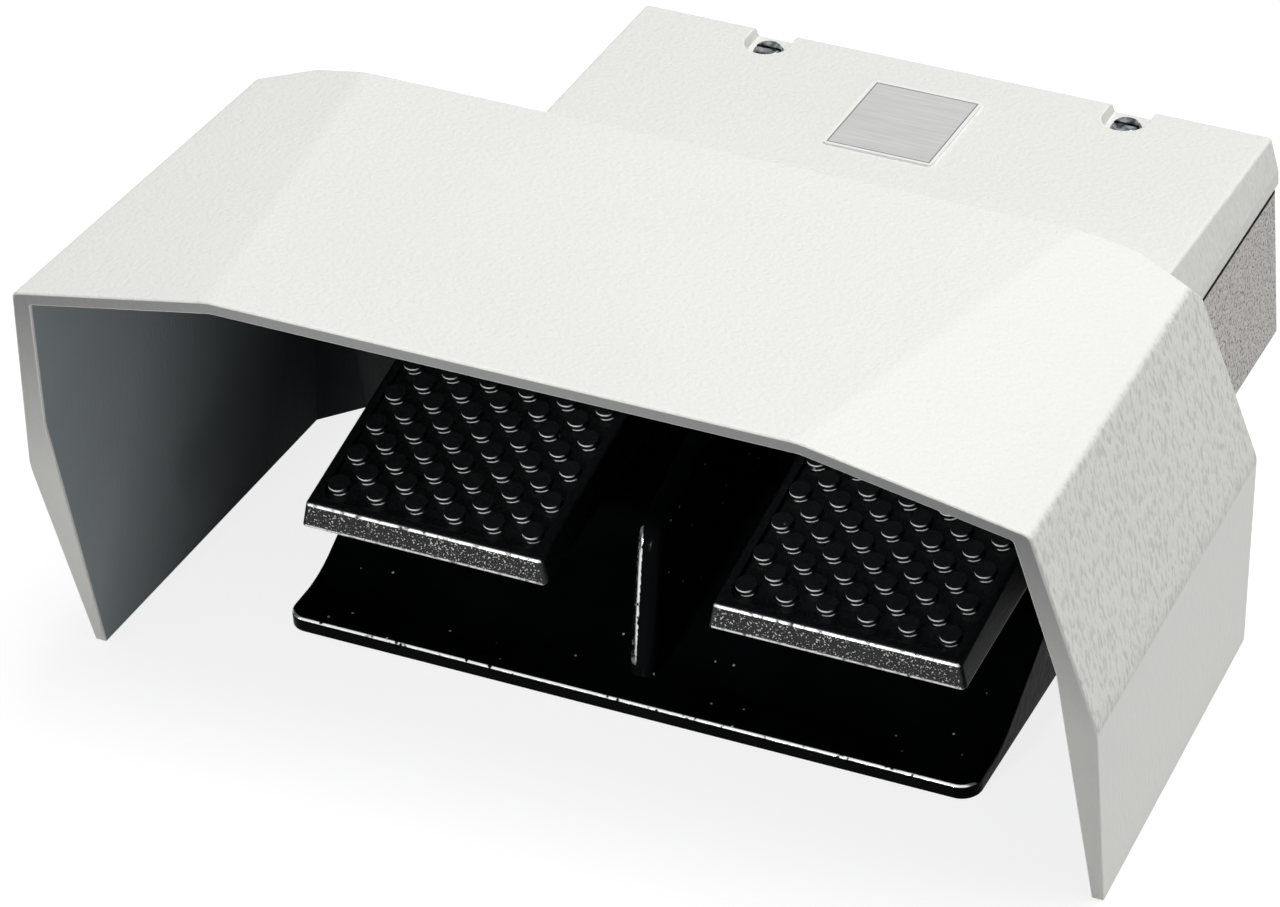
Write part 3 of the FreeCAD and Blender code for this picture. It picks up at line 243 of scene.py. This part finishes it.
def softened(tree, radius_mm):
    """Normals that round every sharp edge by a small radius, as moulding and paint do."""
    return add_node(tree, "ShaderNodeBevel", {"Radius": radius_mm / 1000}, samples=6).outputs["Normal"]


def along_edges(tree, rounded):
    """1 along sharp edges, where the rounded normals leave the face's own, and 0 on flat faces."""
    own = add_node(tree, "ShaderNodeNewGeometry").outputs["Normal"]
    return spread(tree, dot(tree, rounded, own), 0.9, 0.98, 1.0, 0.0)


def specks(tree, place, spacing_mm, radius_mm, share):
    """Small round specks in a share of the cells of a grid without order."""
    cells = add_node(tree, "ShaderNodeTexVoronoi", {"Vector": place, "Scale": 1000 / spacing_mm}).outputs
    chosen = spread(tree, axis_of(tree, cells["Color"], "X"), 1 - share, 1 - share + 0.01)
    size = radius_mm / spacing_mm
    return product(tree, spread(tree, cells["Distance"], size * 0.6, size, 1.0, 0.0), chosen)


print("treads start at", [round(v, 4) for v in tread_front], "and rise by", tread_slope)

# %% [markdown]
# ## Light grey baked enamel
# Hood and cover are sprayed with a structured enamel and baked. It hangs as it dries, so the wrinkle
# is drawn out downwards, under 1 mm wide and about 2 mm long. It shows on the upright wings, where
# light grazes it and its furrows are painted darker as shade, and hardly on the roof. On the lower half
# of the wings the thick paint has flowed smooth, and that half is painted paler as painted light. The
# sharp edges are painted pale as a highlight, and the front rim is painted grey as shade towards its top.

# %% Light grey baked enamel
enamel_roughness = 0.44
matt_shade_roughness = 0.95
drift_mm = 45
wrinkle_mm = 0.75
wrinkle_length = 0.4
wrinkle_relief_mm = 0.42
smooth_share = 0.35
pale_edge_highlight = "FAFAF6"
hood_mouth = -0.1
mouth_depth = 0.01


def rim_top_shade(tree, place):
    """The hood's front rim, with painted shade that makes it grey towards the top."""
    front = spread(tree, axis_of(tree, facing(tree), "Y"), -0.93, -0.97)
    ahead = spread(tree, axis_of(tree, place, "Y"), hood_mouth, hood_mouth - mouth_depth)
    return product(tree, product(tree, front, ahead), spread(tree, axis_of(tree, place, "Z"), 0.07, 0.14))


def grey_enamel(name, base, shade, furrow, shaded_side):
    """Wrinkled paint; the last argument gives the mask and the painted shade of the side that is seldom
    seen.
    """
    material, tree, shader, place = new_finish(name, base, enamel_roughness, specular=0.3)
    drift = grain(tree, place, drift_mm, 2.0)
    colour = tint(tree, spread(tree, drift, 0.3, 0.7), base, shade)
    wrinkle = grain(tree, stretched(tree, place, (1, 1, wrinkle_length)), wrinkle_mm, 3.0)
    sideways = spread(tree, calculate(tree, "ABSOLUTE", axis_of(tree, facing(tree), "X")), 0.6, 0.9)
    # Painted shade: the wrinkle's furrows are painted darker on the upright wings.
    wing_furrow_shade = product(tree, spread(tree, wrinkle, 0.36, 0.52, 1.0, 0.0), sideways)
    colour = tint(tree, wing_furrow_shade, colour, furrow)
    # Painted light: the lower, down-facing part of the upright wings is painted paler.
    low = product(tree, spread(tree, axis_of(tree, facing(tree), "Z"), -0.04, 0.02, 1.0, 0.0), sideways)
    colour = tint(tree, low, colour, "F0F0EB")
    flowed = product(tree, wrinkle, spread(tree, low, 0.0, 1.0, 1.0, smooth_share))
    rounded = softened(tree, 0.8)
    # Painted highlight: sharp edges are painted pale.
    colour = tint(tree, along_edges(tree, rounded), colour, pale_edge_highlight)
    # Painted shade: the side that is seldom seen takes a shaded colour.
    mask, dark = shaded_side(tree, place, drift)
    colour = tint(tree, mask, colour, dark)
    # Painted shade: the front rim is painted grey towards its top.
    tree.links.new(tint(tree, rim_top_shade(tree, place), colour, "A0A1A0"), shader.inputs["Base Color"])
    relief(tree, shader, flowed, wrinkle_relief_mm, rounded)
    tree.links.new(spread(tree, mask, 0.0, 1.0, enamel_roughness, matt_shade_roughness),
                   shader.inputs["Roughness"])
    return material


print("wrinkle", wrinkle_mm, "mm wide,", round(wrinkle_mm / wrinkle_length, 1), "mm long")

# %% [markdown]
# ## Painted shade where the grey enamel is seldom seen
# The hood's inner side is matt, and its colour is painted shade: a bluish mid grey at the mouth, painted
# darker the deeper and lower it lies, to near black behind. The two sides are told apart by whether a
# face looks away from the hood's middle. The cover's front, which the hood hides, is painted black as
# shade.

# %% Where the grey enamel is seldom seen
hood_heart = (0, -0.06, 0.06)
inwards = (0, 1, -0.5)


def away_from(tree, place, centre):
    """1 on faces that look away from a point inside the object, 0 on those that look at it."""
    normal = add_node(tree, "ShaderNodeNewGeometry").outputs["Normal"]
    out = add_node(tree, "ShaderNodeVectorMath", {0: place, 1: centre}, operation="SUBTRACT").outputs[0]
    return spread(tree, dot(tree, normal, out), -0.002, 0.002)


def hood_inside_shade(tree, place, drift):
    """The inner skin as painted shade, darker towards the rear, with a painted highlight on the edge at
    the mouth.
    """
    inner = calculate(tree, "SUBTRACT", 1.0, away_from(tree, place, hood_heart))
    # Painted shade: the inner skin is a darker bluish copy of the paint, painted near black towards the
    # rear.
    depth = spread(tree, dot(tree, place, inwards), -0.13, -0.03)
    cloud = tint(tree, spread(tree, drift, 0.35, 0.65), "BBC3C6", "AEB6BA")
    skin = tint(tree, depth, cloud, "24282B")
    # Painted highlight: a pale line is painted on the rim's inner edge at the mouth.
    edge = band(tree, axis_of(tree, facing(tree), "Y"), -0.98, -0.94, -0.2, -0.1)
    ahead = spread(tree, axis_of(tree, place, "Y"), hood_mouth, hood_mouth - mouth_depth)
    return inner, tint(tree, product(tree, edge, ahead), skin, pale_edge_highlight)


def shade_behind_hood(tree, place, drift):
    """Painted shade: all that lies in front of the flange's back, inside the hood, is painted black."""
    mask = spread(tree, axis_of(tree, place, "Y"), flange_back, flange_back + 0.0004, 1.0, 0.0)
    return mask, linear("060708")


finishes["hood"] = grey_enamel("grey_structured_enamel_hood", "E3E3DE", "E0E0DB", "C9C9C5",
                               hood_inside_shade)
finishes["housing_cover"] = grey_enamel("grey_structured_enamel_cover", "E2E2DD", "E0E0DB", "DCDCD7",
                                        shade_behind_hood)
print("made", finishes["hood"].name, "and", finishes["housing_cover"].name)

# %% [markdown]
# ## Warm grey speckled enamel
# The switch box is a rough casting under one coat of paint. Its pores show as small dark specks,
# half a millimetre to one millimetre, under a warm grey. The front wall inside the hood and the face
# that the gasket seals on are painted black as shade, so a dark painted shadow runs round under the
# cover.

# %% Warm grey speckled enamel
sealing_face = 0.0512
casting_roughness = 0.5
pore_mm = 0.45
crumb_mm = 1.2


def speckled_enamel(name):
    """Warm grey paint with dark pores, and black painted shade on the sealing face and inside the hood.
    """
    material, tree, shader, place = new_finish(name, "BAB5B1", casting_roughness)
    pores = grain(tree, place, pore_mm, 1.0)
    crumbs = grain(tree, place, crumb_mm, 2.0)
    colour = tint(tree, spread(tree, crumbs, 0.35, 0.65), "D0CBC7", "BDB8B4")
    colour = tint(tree, spread(tree, pores, 0.36, 0.44), "767270", colour)
    # Painted shade: the sealing face is painted black, as the shadowed gap under the cover.
    gasket_face_shade = spread(tree, axis_of(tree, place, "Z"), sealing_face, sealing_face + 0.0001)
    colour = tint(tree, gasket_face_shade, colour, "050506")
    # Painted shade: all in front of the flange's back, inside the hood, is painted black.
    mask, black = shade_behind_hood(tree, place, pores)
    tree.links.new(tint(tree, mask, colour, black), shader.inputs["Base Color"])
    tree.links.new(spread(tree, mask, 0.0, 1.0, casting_roughness, matt_shade_roughness),
                   shader.inputs["Roughness"])
    relief(tree, shader, spread(tree, pores, 0.35, 0.6), 0.12)
    return material


finishes["switch_housing"] = speckled_enamel("warm_grey_speckled_enamel")
print("made", finishes["switch_housing"].name)

# %% [markdown]
# ## Black enamel on cast iron
# The base is an iron casting with a thick coat of gloss black. The sand's grain telegraphs through
# as orange peel, bumps of 2 to 3 mm that break each reflection into soft dashes. Dust shows on it as
# pale specks. The front lip's rounded edge and the partition's left edge carry a painted highlight,
# a broken pale metallic line.

# %% Black enamel on cast iron
nose_way = (-0.6, -0.78, 0.19)
partition_left = -0.006
nose_foot = 0.008
nose_top = 0.049
lip_height = 0.007
peel_mm = 2.4
cast_sand_mm = 0.8


def nose_highlight(tree, place):
    """Painted highlight along the partition's left front edge."""
    uneven = calculate(tree, "MULTIPLY_ADD", grain(tree, place, 0.6, 2.0), 0.12,
                       dot(tree, facing(tree), nose_way))
    nose = product(tree, spread(tree, uneven, 0.945, 0.965),
                   spread(tree, axis_of(tree, place, "X"), partition_left, partition_left + 0.001))
    return product(tree, nose, band(tree, axis_of(tree, place, "Z"),
                                    nose_foot, nose_foot + 0.002, nose_top - 0.003, nose_top))


def lip_highlight(tree, place):
    """Painted highlight along the rounded edge of the front lip."""
    way = facing(tree)
    lip = product(tree, band(tree, axis_of(tree, way, "Z"), 0.4, 0.5, 0.75, 0.85),
                  spread(tree, axis_of(tree, way, "Y"), -0.3, -0.4))
    return product(tree, lip, spread(tree, axis_of(tree, place, "Z"), lip_height - 0.001, lip_height,
                                     1.0, 0.0))


def black_enamel(name):
    """Thick gloss black over sand-cast iron, with dust and painted highlights on two edges."""
    material, tree, shader, place = new_finish(name, "0B0D0F", 0.2, specular=0.015)
    peel = grain(tree, place, peel_mm, 1.0)
    sand = grain(tree, place, cast_sand_mm, 2.0)
    colour = tint(tree, spread(tree, grain(tree, place, 12), 0.35, 0.7), "040506", "090B0C")
    colour = tint(tree, specks(tree, place, 5.0, 0.45, 0.3), colour, "B9BDC0")
    broken = spread(tree, grain(tree, place, 1.2, 1.0), 0.3, 0.36)
    # Painted highlight: a broken pale metallic line on the lip's edge and the partition's left front
    # edge.
    highlight_line = product(tree, either(tree, nose_highlight(tree, place), lip_highlight(tree, place)), broken)
    tree.links.new(highlight_line, shader.inputs["Metallic"])
    tree.links.new(tint(tree, highlight_line, colour, "E6E6E6"), shader.inputs["Base Color"])
    fine = relief(tree, shader, sand, 0.03, softened(tree, 0.5))
    relief(tree, shader, peel, 0.16, fine)
    tree.links.new(spread(tree, sand, 0.3, 0.7, 0.12, 0.26), shader.inputs["Roughness"])
    return material


finishes["base_casting"] = black_enamel("gloss_black_enamel_on_iron")
print("made", finishes["base_casting"].name)

# %% [markdown]
# ## Black wrinkle enamel on the pedals
# The trays carry the same black, but their front skirts have a coarse sparkle of painted glints on the
# high spots of the sand's grain, under half a millimetre across. The rounded edge over the skirt, its
# foot and the sharp front edges get a painted highlight, a pale broken line. The rim round the rubber and
# the sides keep their black.

# %% Black wrinkle enamel on the pedals
skirt_sand_mm = 0.3
skirt_foot = -0.0076


def skirt_edge_highlights(tree, place, front, skirt, rounded):
    """Where the painted highlight goes: the crest over the skirt, the hem at its foot and the sharp edges
    at the front.
    """
    up_facing = axis_of(tree, facing(tree), "Z")
    crest = product(tree, band(tree, up_facing, 0.22, 0.3, 0.6, 0.74), spread(tree, front, 0.55, 0.65))
    hem = product(tree, skirt, spread(tree, over_tread(tree, place), skirt_foot, skirt_foot + 0.0004,
                                      1.0, 0.0))
    edges = product(tree, along_edges(tree, rounded), spread(tree, front, 0.5, 0.8))
    return either(tree, either(tree, crest, hem), edges)


def wrinkle_enamel(name):
    """Black enamel whose front skirt has painted glints, with painted highlights on its edges."""
    material, tree, shader, place = new_finish(name, "101214", 0.3, specular=0.3)
    front = calculate(tree, "MULTIPLY", axis_of(tree, facing(tree), "Y"), -1.0)
    skirt = spread(tree, front, 0.9, 0.95)
    sand = grain(tree, place, skirt_sand_mm, 1.0)
    colour = tint(tree, spread(tree, grain(tree, place, 0.6), 0.4, 0.6), "060708", "17191A")
    colour = tint(tree, product(tree, skirt, spread(tree, sand, 0.36, 0.56)), colour, "0E0F0F")
    # Painted glints: pale sparks on the high spots of the front skirt's grain.
    painted_glints = product(tree, spread(tree, sand, 0.615, 0.665), skirt)
    colour = tint(tree, painted_glints, colour, "D6D6D4")
    rounded = softened(tree, 0.5)
    broken = spread(tree, grain(tree, place, 0.9), 0.3, 0.5)
    # Painted highlight: a pale metallic broken line on the crest, the hem and the front edges.
    highlight_line = product(tree, skirt_edge_highlights(tree, place, front, skirt, rounded), broken)
    tree.links.new(tint(tree, highlight_line, colour, "DEDEDC"), shader.inputs["Base Color"])
    tree.links.new(highlight_line, shader.inputs["Metallic"])
    relief(tree, shader, sand, 0.05, rounded)
    return material


finishes["pedal"] = wrinkle_enamel("black_wrinkle_enamel")
print("made", finishes["pedal"].name)

# %% [markdown]
# ## Moulded rubber
# Treads, feet, gasket and buffers are black rubber, moulded and satin. A little bloom of filler
# greys the surface in patches, and the mould leaves a fine matt grain. On the treads the studs' tops
# are scuffed to a dark grey. A pale painted highlight lies in a crescent under the front of each
# stud's top and in the corner at its foot, and pale specks of dust lie on the treads.

# %% Moulded rubber
mould_mm = 0.6
bloom_mm = 9.0
rubber_ior = 1.52


def stud_highlights(tree, height):
    """Painted highlight on the front of each stud's side: a long line under its top and a short one at
    its foot.
    """
    under_top = product(tree, band(tree, height, 0.0002, 0.0004, 0.0008, 0.0009),
                        spread(tree, dot(tree, facing(tree), (-0.1, -0.99, 0.0)), 0.5, 0.85))
    foot = product(tree, spread(tree, height, -0.0010, -0.0008, 1.0, 0.0),
                   spread(tree, dot(tree, facing(tree), (0.4, -0.92, 0.0)), 0.8, 0.92))
    return either(tree, under_top, foot)


def trodden(tree, place, colour, scuffed):
    """A tread's colour with scuffed stud tops, painted highlight crescents and dust."""
    height = over_tread(tree, place)
    tops = product(tree, spread(tree, height, 0.0006, 0.0008),
                   spread(tree, grain(tree, place, 1.5), 0.35, 0.6, 0.3, 1.0))
    colour = tint(tree, tops, colour, scuffed)
    # Painted highlight: pale crescents on the studs' fronts.
    colour = tint(tree, stud_highlights(tree, height), colour, "F2F4F6")
    return tint(tree, specks(tree, place, 7.0, 0.5, 0.2), colour, "A4A6A8")


def moulded_rubber(name, base, bloom, roughness, scuffed=None):
    """Black rubber with bloom and the mould's grain; a tread's is trodden too."""
    material, tree, shader, place = new_finish(name, base, roughness, ior=rubber_ior, specular=0.35)
    colour = tint(tree, spread(tree, grain(tree, place, bloom_mm), 0.35, 0.7), base, bloom)
    mould = grain(tree, place, mould_mm, 2.0)
    if scuffed:
        colour = trodden(tree, place, colour, scuffed)
    tree.links.new(colour, shader.inputs["Base Color"])
    relief(tree, shader, mould, 0.04, softened(tree, 0.6))
    tree.links.new(spread(tree, mould, 0.3, 0.7, roughness - 0.07, roughness + 0.08),
                   shader.inputs["Roughness"])
    return material


finishes["tread_pad"] = moulded_rubber("satin_tread_rubber", "0D0E0F", "141516", 0.32, scuffed="1A1C1D")
finishes["rubber"] = moulded_rubber("matt_black_rubber", "141414", "202020", 0.62)
print("made", finishes["tread_pad"].name, "and", finishes["rubber"].name)

# %% [markdown]
# ## Steels and brass
# Screws and the carrier are zinc plated, which looks pale, cool and slightly blotched. The cover's
# screws are blackened and worn through in patches. Shafts and rods are ground, with fine rings round
# them. The springs are oiled wire, darker. Brass is turned.
# Each is a metal, so its colour is the colour of its reflection and the IOR stays as it is.

# %% Steels and brass
def worked_metal(name, base, shade, roughness, stretch, line_mm, blotch_mm=5.0):
    """Metal with tool marks: the pattern is stretched along the axes with a small factor."""
    material, tree, shader, place = new_finish(name, base, roughness, metallic=1.0)
    marks = grain(tree, stretched(tree, place, stretch), line_mm, 3.0)
    blotch = spread(tree, grain(tree, place, blotch_mm), 0.35, 0.65)
    tree.links.new(tint(tree, blotch, base, shade), shader.inputs["Base Color"])
    tree.links.new(spread(tree, marks, 0.3, 0.7, roughness - 0.08, roughness + 0.1),
                   shader.inputs["Roughness"])
    relief(tree, shader, marks, 0.015)
    return material


even = (1, 1, 1)
metals = {
    "zinc": worked_metal("zinc_plated_steel", "C3C7CA", "ABB0B4", 0.34, even, 1.2),
    "ground": worked_metal("ground_steel", "B9BBBD", "A5A8AA", 0.22, (1, 0.05, 0.05), 0.3),
    "blackened": worked_metal("blackened_steel", "9A9EA2", "202326", 0.3, even, 0.8, 1.2),
    "spring": worked_metal("oiled_spring_wire", "6E7073", "4D4F52", 0.3, even, 0.8),
    "brass": worked_metal("turned_brass", "C9A25B", "B48B45", 0.28, (0.1, 1, 0.1), 0.4),
}
finishes.update(metals)
print("metals", [metal.name for metal in metals.values()])

# %% [markdown]
# ## The bare plate
# The plate on the cover is thin aluminium foil, matt and pale, with a lighter margin and a darker line
# 1.2 mm inside its edge. Both are found from the distance to the plate's edge, in its own plane.

# %% The bare plate
plate_middle = (-0.001, 0.1113)
plate_half = (0.01775, 0.01925)
line_inset = 0.0012
line_half = 0.0001
line_fade = 0.0002
brush_length = 0.05


def from_plate_edge(tree, place):
    """Distance inwards from the nearest edge of the plate, in metres."""
    edges = []
    for axis, middle, half in zip("XY", plate_middle, plate_half):
        off = calculate(tree, "SUBTRACT", axis_of(tree, place, axis), middle)
        edges.append(calculate(tree, "SUBTRACT", half, calculate(tree, "ABSOLUTE", off)))
    return calculate(tree, "MINIMUM", edges[0], edges[1])


def plate_foil(name):
    """Brushed foil with a pale margin and a thin dark line round it."""
    material, tree, shader, place = new_finish(name, "BFBFBD", 0.5, metallic=0.5)
    inside = from_plate_edge(tree, place)
    near = line_inset - line_half
    far = line_inset + line_half
    line = band(tree, inside, near - line_fade, near, far, far + line_fade)
    margin = spread(tree, inside, near - line_half, near, 1.0, 0.0)
    strokes = grain(tree, stretched(tree, place, (brush_length, 1, 1)), 0.4)
    colour = tint(tree, spread(tree, strokes, 0.3, 0.7), "C6C6C4", "B6B7B6")
    colour = tint(tree, margin, colour, "E2E2E0")
    tree.links.new(tint(tree, line, colour, "6E7070"), shader.inputs["Base Color"])
    relief(tree, shader, strokes, 0.008)
    return material


finishes["nameplate"] = plate_foil("matt_aluminium_foil")
print("made", finishes["nameplate"].name)

# %% [markdown]
# ## Thermoset and ivory plastic
# The contact blocks are pressed from a dark, mineral-filled thermoset that is faintly mottled.
# The sliding bars are an ivory plastic, smooth from the mould.

# %% Thermoset and ivory plastic
def moulded_plastic(name, base, mottle, roughness, size_mm):
    """Plastic with a faint mottle of the given size."""
    material, tree, shader, place = new_finish(name, base, roughness)
    cloud = spread(tree, grain(tree, place, size_mm), 0.4, 0.6)
    tree.links.new(tint(tree, cloud, base, mottle), shader.inputs["Base Color"])
    relief(tree, shader, grain(tree, place, 0.5), 0.02)
    return material


finishes["contact_block"] = moulded_plastic("mineral_filled_thermoset", "26272A", "33353A", 0.45, 1.5)
finishes["contact_slide"] = moulded_plastic("ivory_plastic", "CFC8B6", "C6BEAA", 0.4, 6.0)
print("made", finishes["contact_block"].name, "and", finishes["contact_slide"].name)

# %% [markdown]
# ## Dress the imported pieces
# Each piece of the model takes the finish of its real material. Pairs share one finish by the
# first part of their names.

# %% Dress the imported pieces
finish_of = {
    "hood_screws": "zinc", "base_screws": "zinc", "carrier_screws": "zinc", "contact_carrier": "zinc",
    "shaft_clips": "zinc", "earth_washer": "zinc", "cover_screws": "blackened",
    "terminal_screws": "brass", "earth_screw": "brass", "rod_bushings": "brass",
    "rubber_feet": "rubber", "cover_gasket": "rubber", "stop_buffer": "rubber",
    "pedal_shaft": "ground", "push_rod": "ground", "return_spring": "spring",
}
for name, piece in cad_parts.items():
    kind = name.removesuffix("_left").removesuffix("_right")
    piece.data.materials.clear()
    piece.data.materials.append(finishes[finish_of.get(kind, kind)])
print("dressed", len(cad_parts), "pieces")

# %% [markdown]
# ## The wire of a return spring
# A coil has dead turns at both ends, where the wire lies on itself, and open turns between. The wire
# is a row of rings round its middle line, closed by a flat cap at both ends.

# %% The wire of a return spring
spring_radius = 0.0084
wire_radius = 0.001
spring_low = 0.0242
spring_high = 0.0438
dead_turns = 0.75
open_turns = 4.0
dead_rise = dead_turns * wire_radius * 2.05
spring_place = (0.0648, -0.0362)
steps_per_turn = 40
wire_sides = 12


def coil_height(turns):
    """Height of the wire's middle line after some turns from the foot."""
    if turns < dead_turns:
        return spring_low + dead_rise * turns / dead_turns
    if turns > dead_turns + open_turns:
        return spring_high - dead_rise * (2 * dead_turns + open_turns - turns) / dead_turns
    open_rise = spring_high - spring_low - 2 * dead_rise
    return spring_low + dead_rise + open_rise * (turns - dead_turns) / open_turns


def coil_line(centre_x):
    """The wire's middle line as points, from the foot to the top."""
    points = []
    for step in range(int((2 * dead_turns + open_turns) * steps_per_turn) + 1):
        turns = step / steps_per_turn
        angle = 2 * math.pi * turns
        points.append(Vector((centre_x + spring_radius * math.cos(angle),
                              spring_place[1] + spring_radius * math.sin(angle), coil_height(turns))))
    return points


def wire_ring(shape, point, along, centre_x):
    """A ring of corners round one point of the wire, square to its run."""
    outwards = Vector((point.x - centre_x, point.y - spring_place[1], 0)).normalized()
    beside = along.cross(outwards)
    ring = []
    for k in range(wire_sides):
        swing = 2 * math.pi * k / wire_sides
        reach = outwards * math.cos(swing) + beside * math.sin(swing)
        ring.append(shape.verts.new(point + wire_radius * reach))
    return ring


def wire_mesh(name, centre_x):
    """A round wire bent to a coil, smooth along its run."""
    points = coil_line(centre_x)
    shape = bmesh.new()
    rings = []
    for step, point in enumerate(points):
        along = points[min(step + 1, len(points) - 1)] - points[max(step - 1, 0)]
        rings.append(wire_ring(shape, point, along.normalized(), centre_x))
    for first, second in zip(rings, rings[1:]):
        for k in range(wire_sides):
            after = (k + 1) % wire_sides
            shape.faces.new((first[k], first[after], second[after], second[k]))
    shape.faces.new(reversed(rings[0]))
    shape.faces.new(rings[-1])
    bmesh.ops.recalc_face_normals(shape, faces=shape.faces)
    mesh = bpy.data.meshes.new(name)
    shape.to_mesh(mesh)
    shape.free()
    for face in mesh.polygons:
        face.use_smooth = len(face.vertices) == 4
    return mesh


print("wire", wire_radius * 2000, "mm thick in", 2 * dead_turns + open_turns, "turns")

# %% [markdown]
# ## Return springs
# Each coil stands in one of the cups, fixed to the base, in place of the imported spring.


def coil_spring(side, centre_x):
    """A coil that stands in one of the cups, fixed to the base."""
    mesh = wire_mesh("coil_spring_" + side, centre_x)
    mesh.materials.append(finishes["spring"])
    coil = put("coil_spring_" + side, mesh)
    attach(coil, "base")
    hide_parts("return_spring_" + side)
    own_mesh(coil)
    return coil


coils = [coil_spring("left", -spring_place[0]), coil_spring("right", spring_place[0])]
print("springs of", len(coils[0].data.polygons), "faces each")

# %% [markdown]
# ## Room and floor
# The object stands on a plain pale floor in a white room. Both turn pure white only where the camera
# or a gloss sees them, so that the object isn't lit by more than plain light.

# %% Room and floor
room_strength = 0.2
paper_glow = 0.82
floor_reach = 6


def seen_directly(tree):
    """1 for what the camera, a mirror or glass sees, 0 for light that only bounces."""
    path = add_node(tree, "ShaderNodeLightPath").outputs
    mirrored = either(tree, path["Is Camera Ray"], path["Is Glossy Ray"])
    return either(tree, mirrored, path["Is Transmission Ray"])


def two_sights(tree, bounced, seen, output):
    """Show one shader to the light that bounces and another to what looks at it."""
    shown = add_node(tree, "ShaderNodeMixShader", {0: seen_directly(tree), 1: bounced, 2: seen})
    add_node(tree, output, {"Surface": shown.outputs[0]})


world = bpy.data.worlds.new("white_room")
bpy.context.scene.world = world
tree = empty_tree(world)
room = add_node(tree, "ShaderNodeBackground", {"Color": linear("F2F4F8"), "Strength": room_strength})
white = add_node(tree, "ShaderNodeBackground", {"Color": linear("FFFFFF"), "Strength": 1.0})
two_sights(tree, room.outputs[0], white.outputs[0], "ShaderNodeOutputWorld")

corners = [(-floor_reach, -floor_reach, 0), (floor_reach, -floor_reach, 0),
           (floor_reach, floor_reach, 0), (-floor_reach, floor_reach, 0)]
floor_mesh = bpy.data.meshes.new("floor")
floor_mesh.from_pydata(corners, [], [(0, 1, 2, 3)])
floor = put("floor", floor_mesh)
pale = bpy.data.materials.new("white_paper")
tree = empty_tree(pale)
paper = add_node(tree, "ShaderNodeBsdfDiffuse", {"Color": linear("909090")}).outputs[0]
glow = add_node(tree, "ShaderNodeEmission", {"Color": linear("FFFFFF"), "Strength": paper_glow})
lifted = add_node(tree, "ShaderNodeAddShader", {0: paper, 1: glow.outputs[0]}).outputs[0]
two_sights(tree, paper, lifted, "ShaderNodeOutputMaterial")
floor.data.materials.append(pale)
print("floor", 2 * floor_reach, "m wide in a room of strength", room_strength)

# %% [markdown]
# ## Lamps
# One wide lamp above and to the right gives the soft top light, a weak one lights the right wing, and
# the room's own light does the rest. A small lamp on the left draws edges. A soft beam from low in
# front reaches the pedals under the hood.

# %% Lamps
beam_target = (0.0, -0.07, 0.02)
beam_angle = 15
beam_size = 0.1


def place_lamp(name, data, place, target):
    """Put a lamp at a place and turn it to its target."""
    lamp = put(name, data)
    lamp.location = place
    lamp.rotation_euler = (Vector(target) - Vector(place)).to_track_quat("-Z", "Y").to_euler()


def soft_lamp(name, place, size, power):
    """A square lamp that looks at the object."""
    data = bpy.data.lights.new(name, "AREA")
    data.size = size
    data.energy = power
    place_lamp(name, data, place, aim)


def low_beam(name, place, power):
    """A soft round beam from near the floor, which reaches under the hood."""
    data = bpy.data.lights.new(name, "SPOT")
    data.spot_size = math.radians(beam_angle)
    data.spot_blend = 1.0
    data.shadow_soft_size = beam_size
    data.energy = power
    place_lamp(name, data, place, beam_target)


soft_lamp("top_lamp", (0.55, 0.15, 2.3), size=1.4, power=53)
soft_lamp("side_lamp", (2.2, -0.4, 0.35), size=0.8, power=8.6)
soft_lamp("edge_lamp", (-1.5, -1.4, 0.3), size=0.12, power=2.5)
low_beam("front_beam", (-0.3, -1.7, 0.3), power=66)
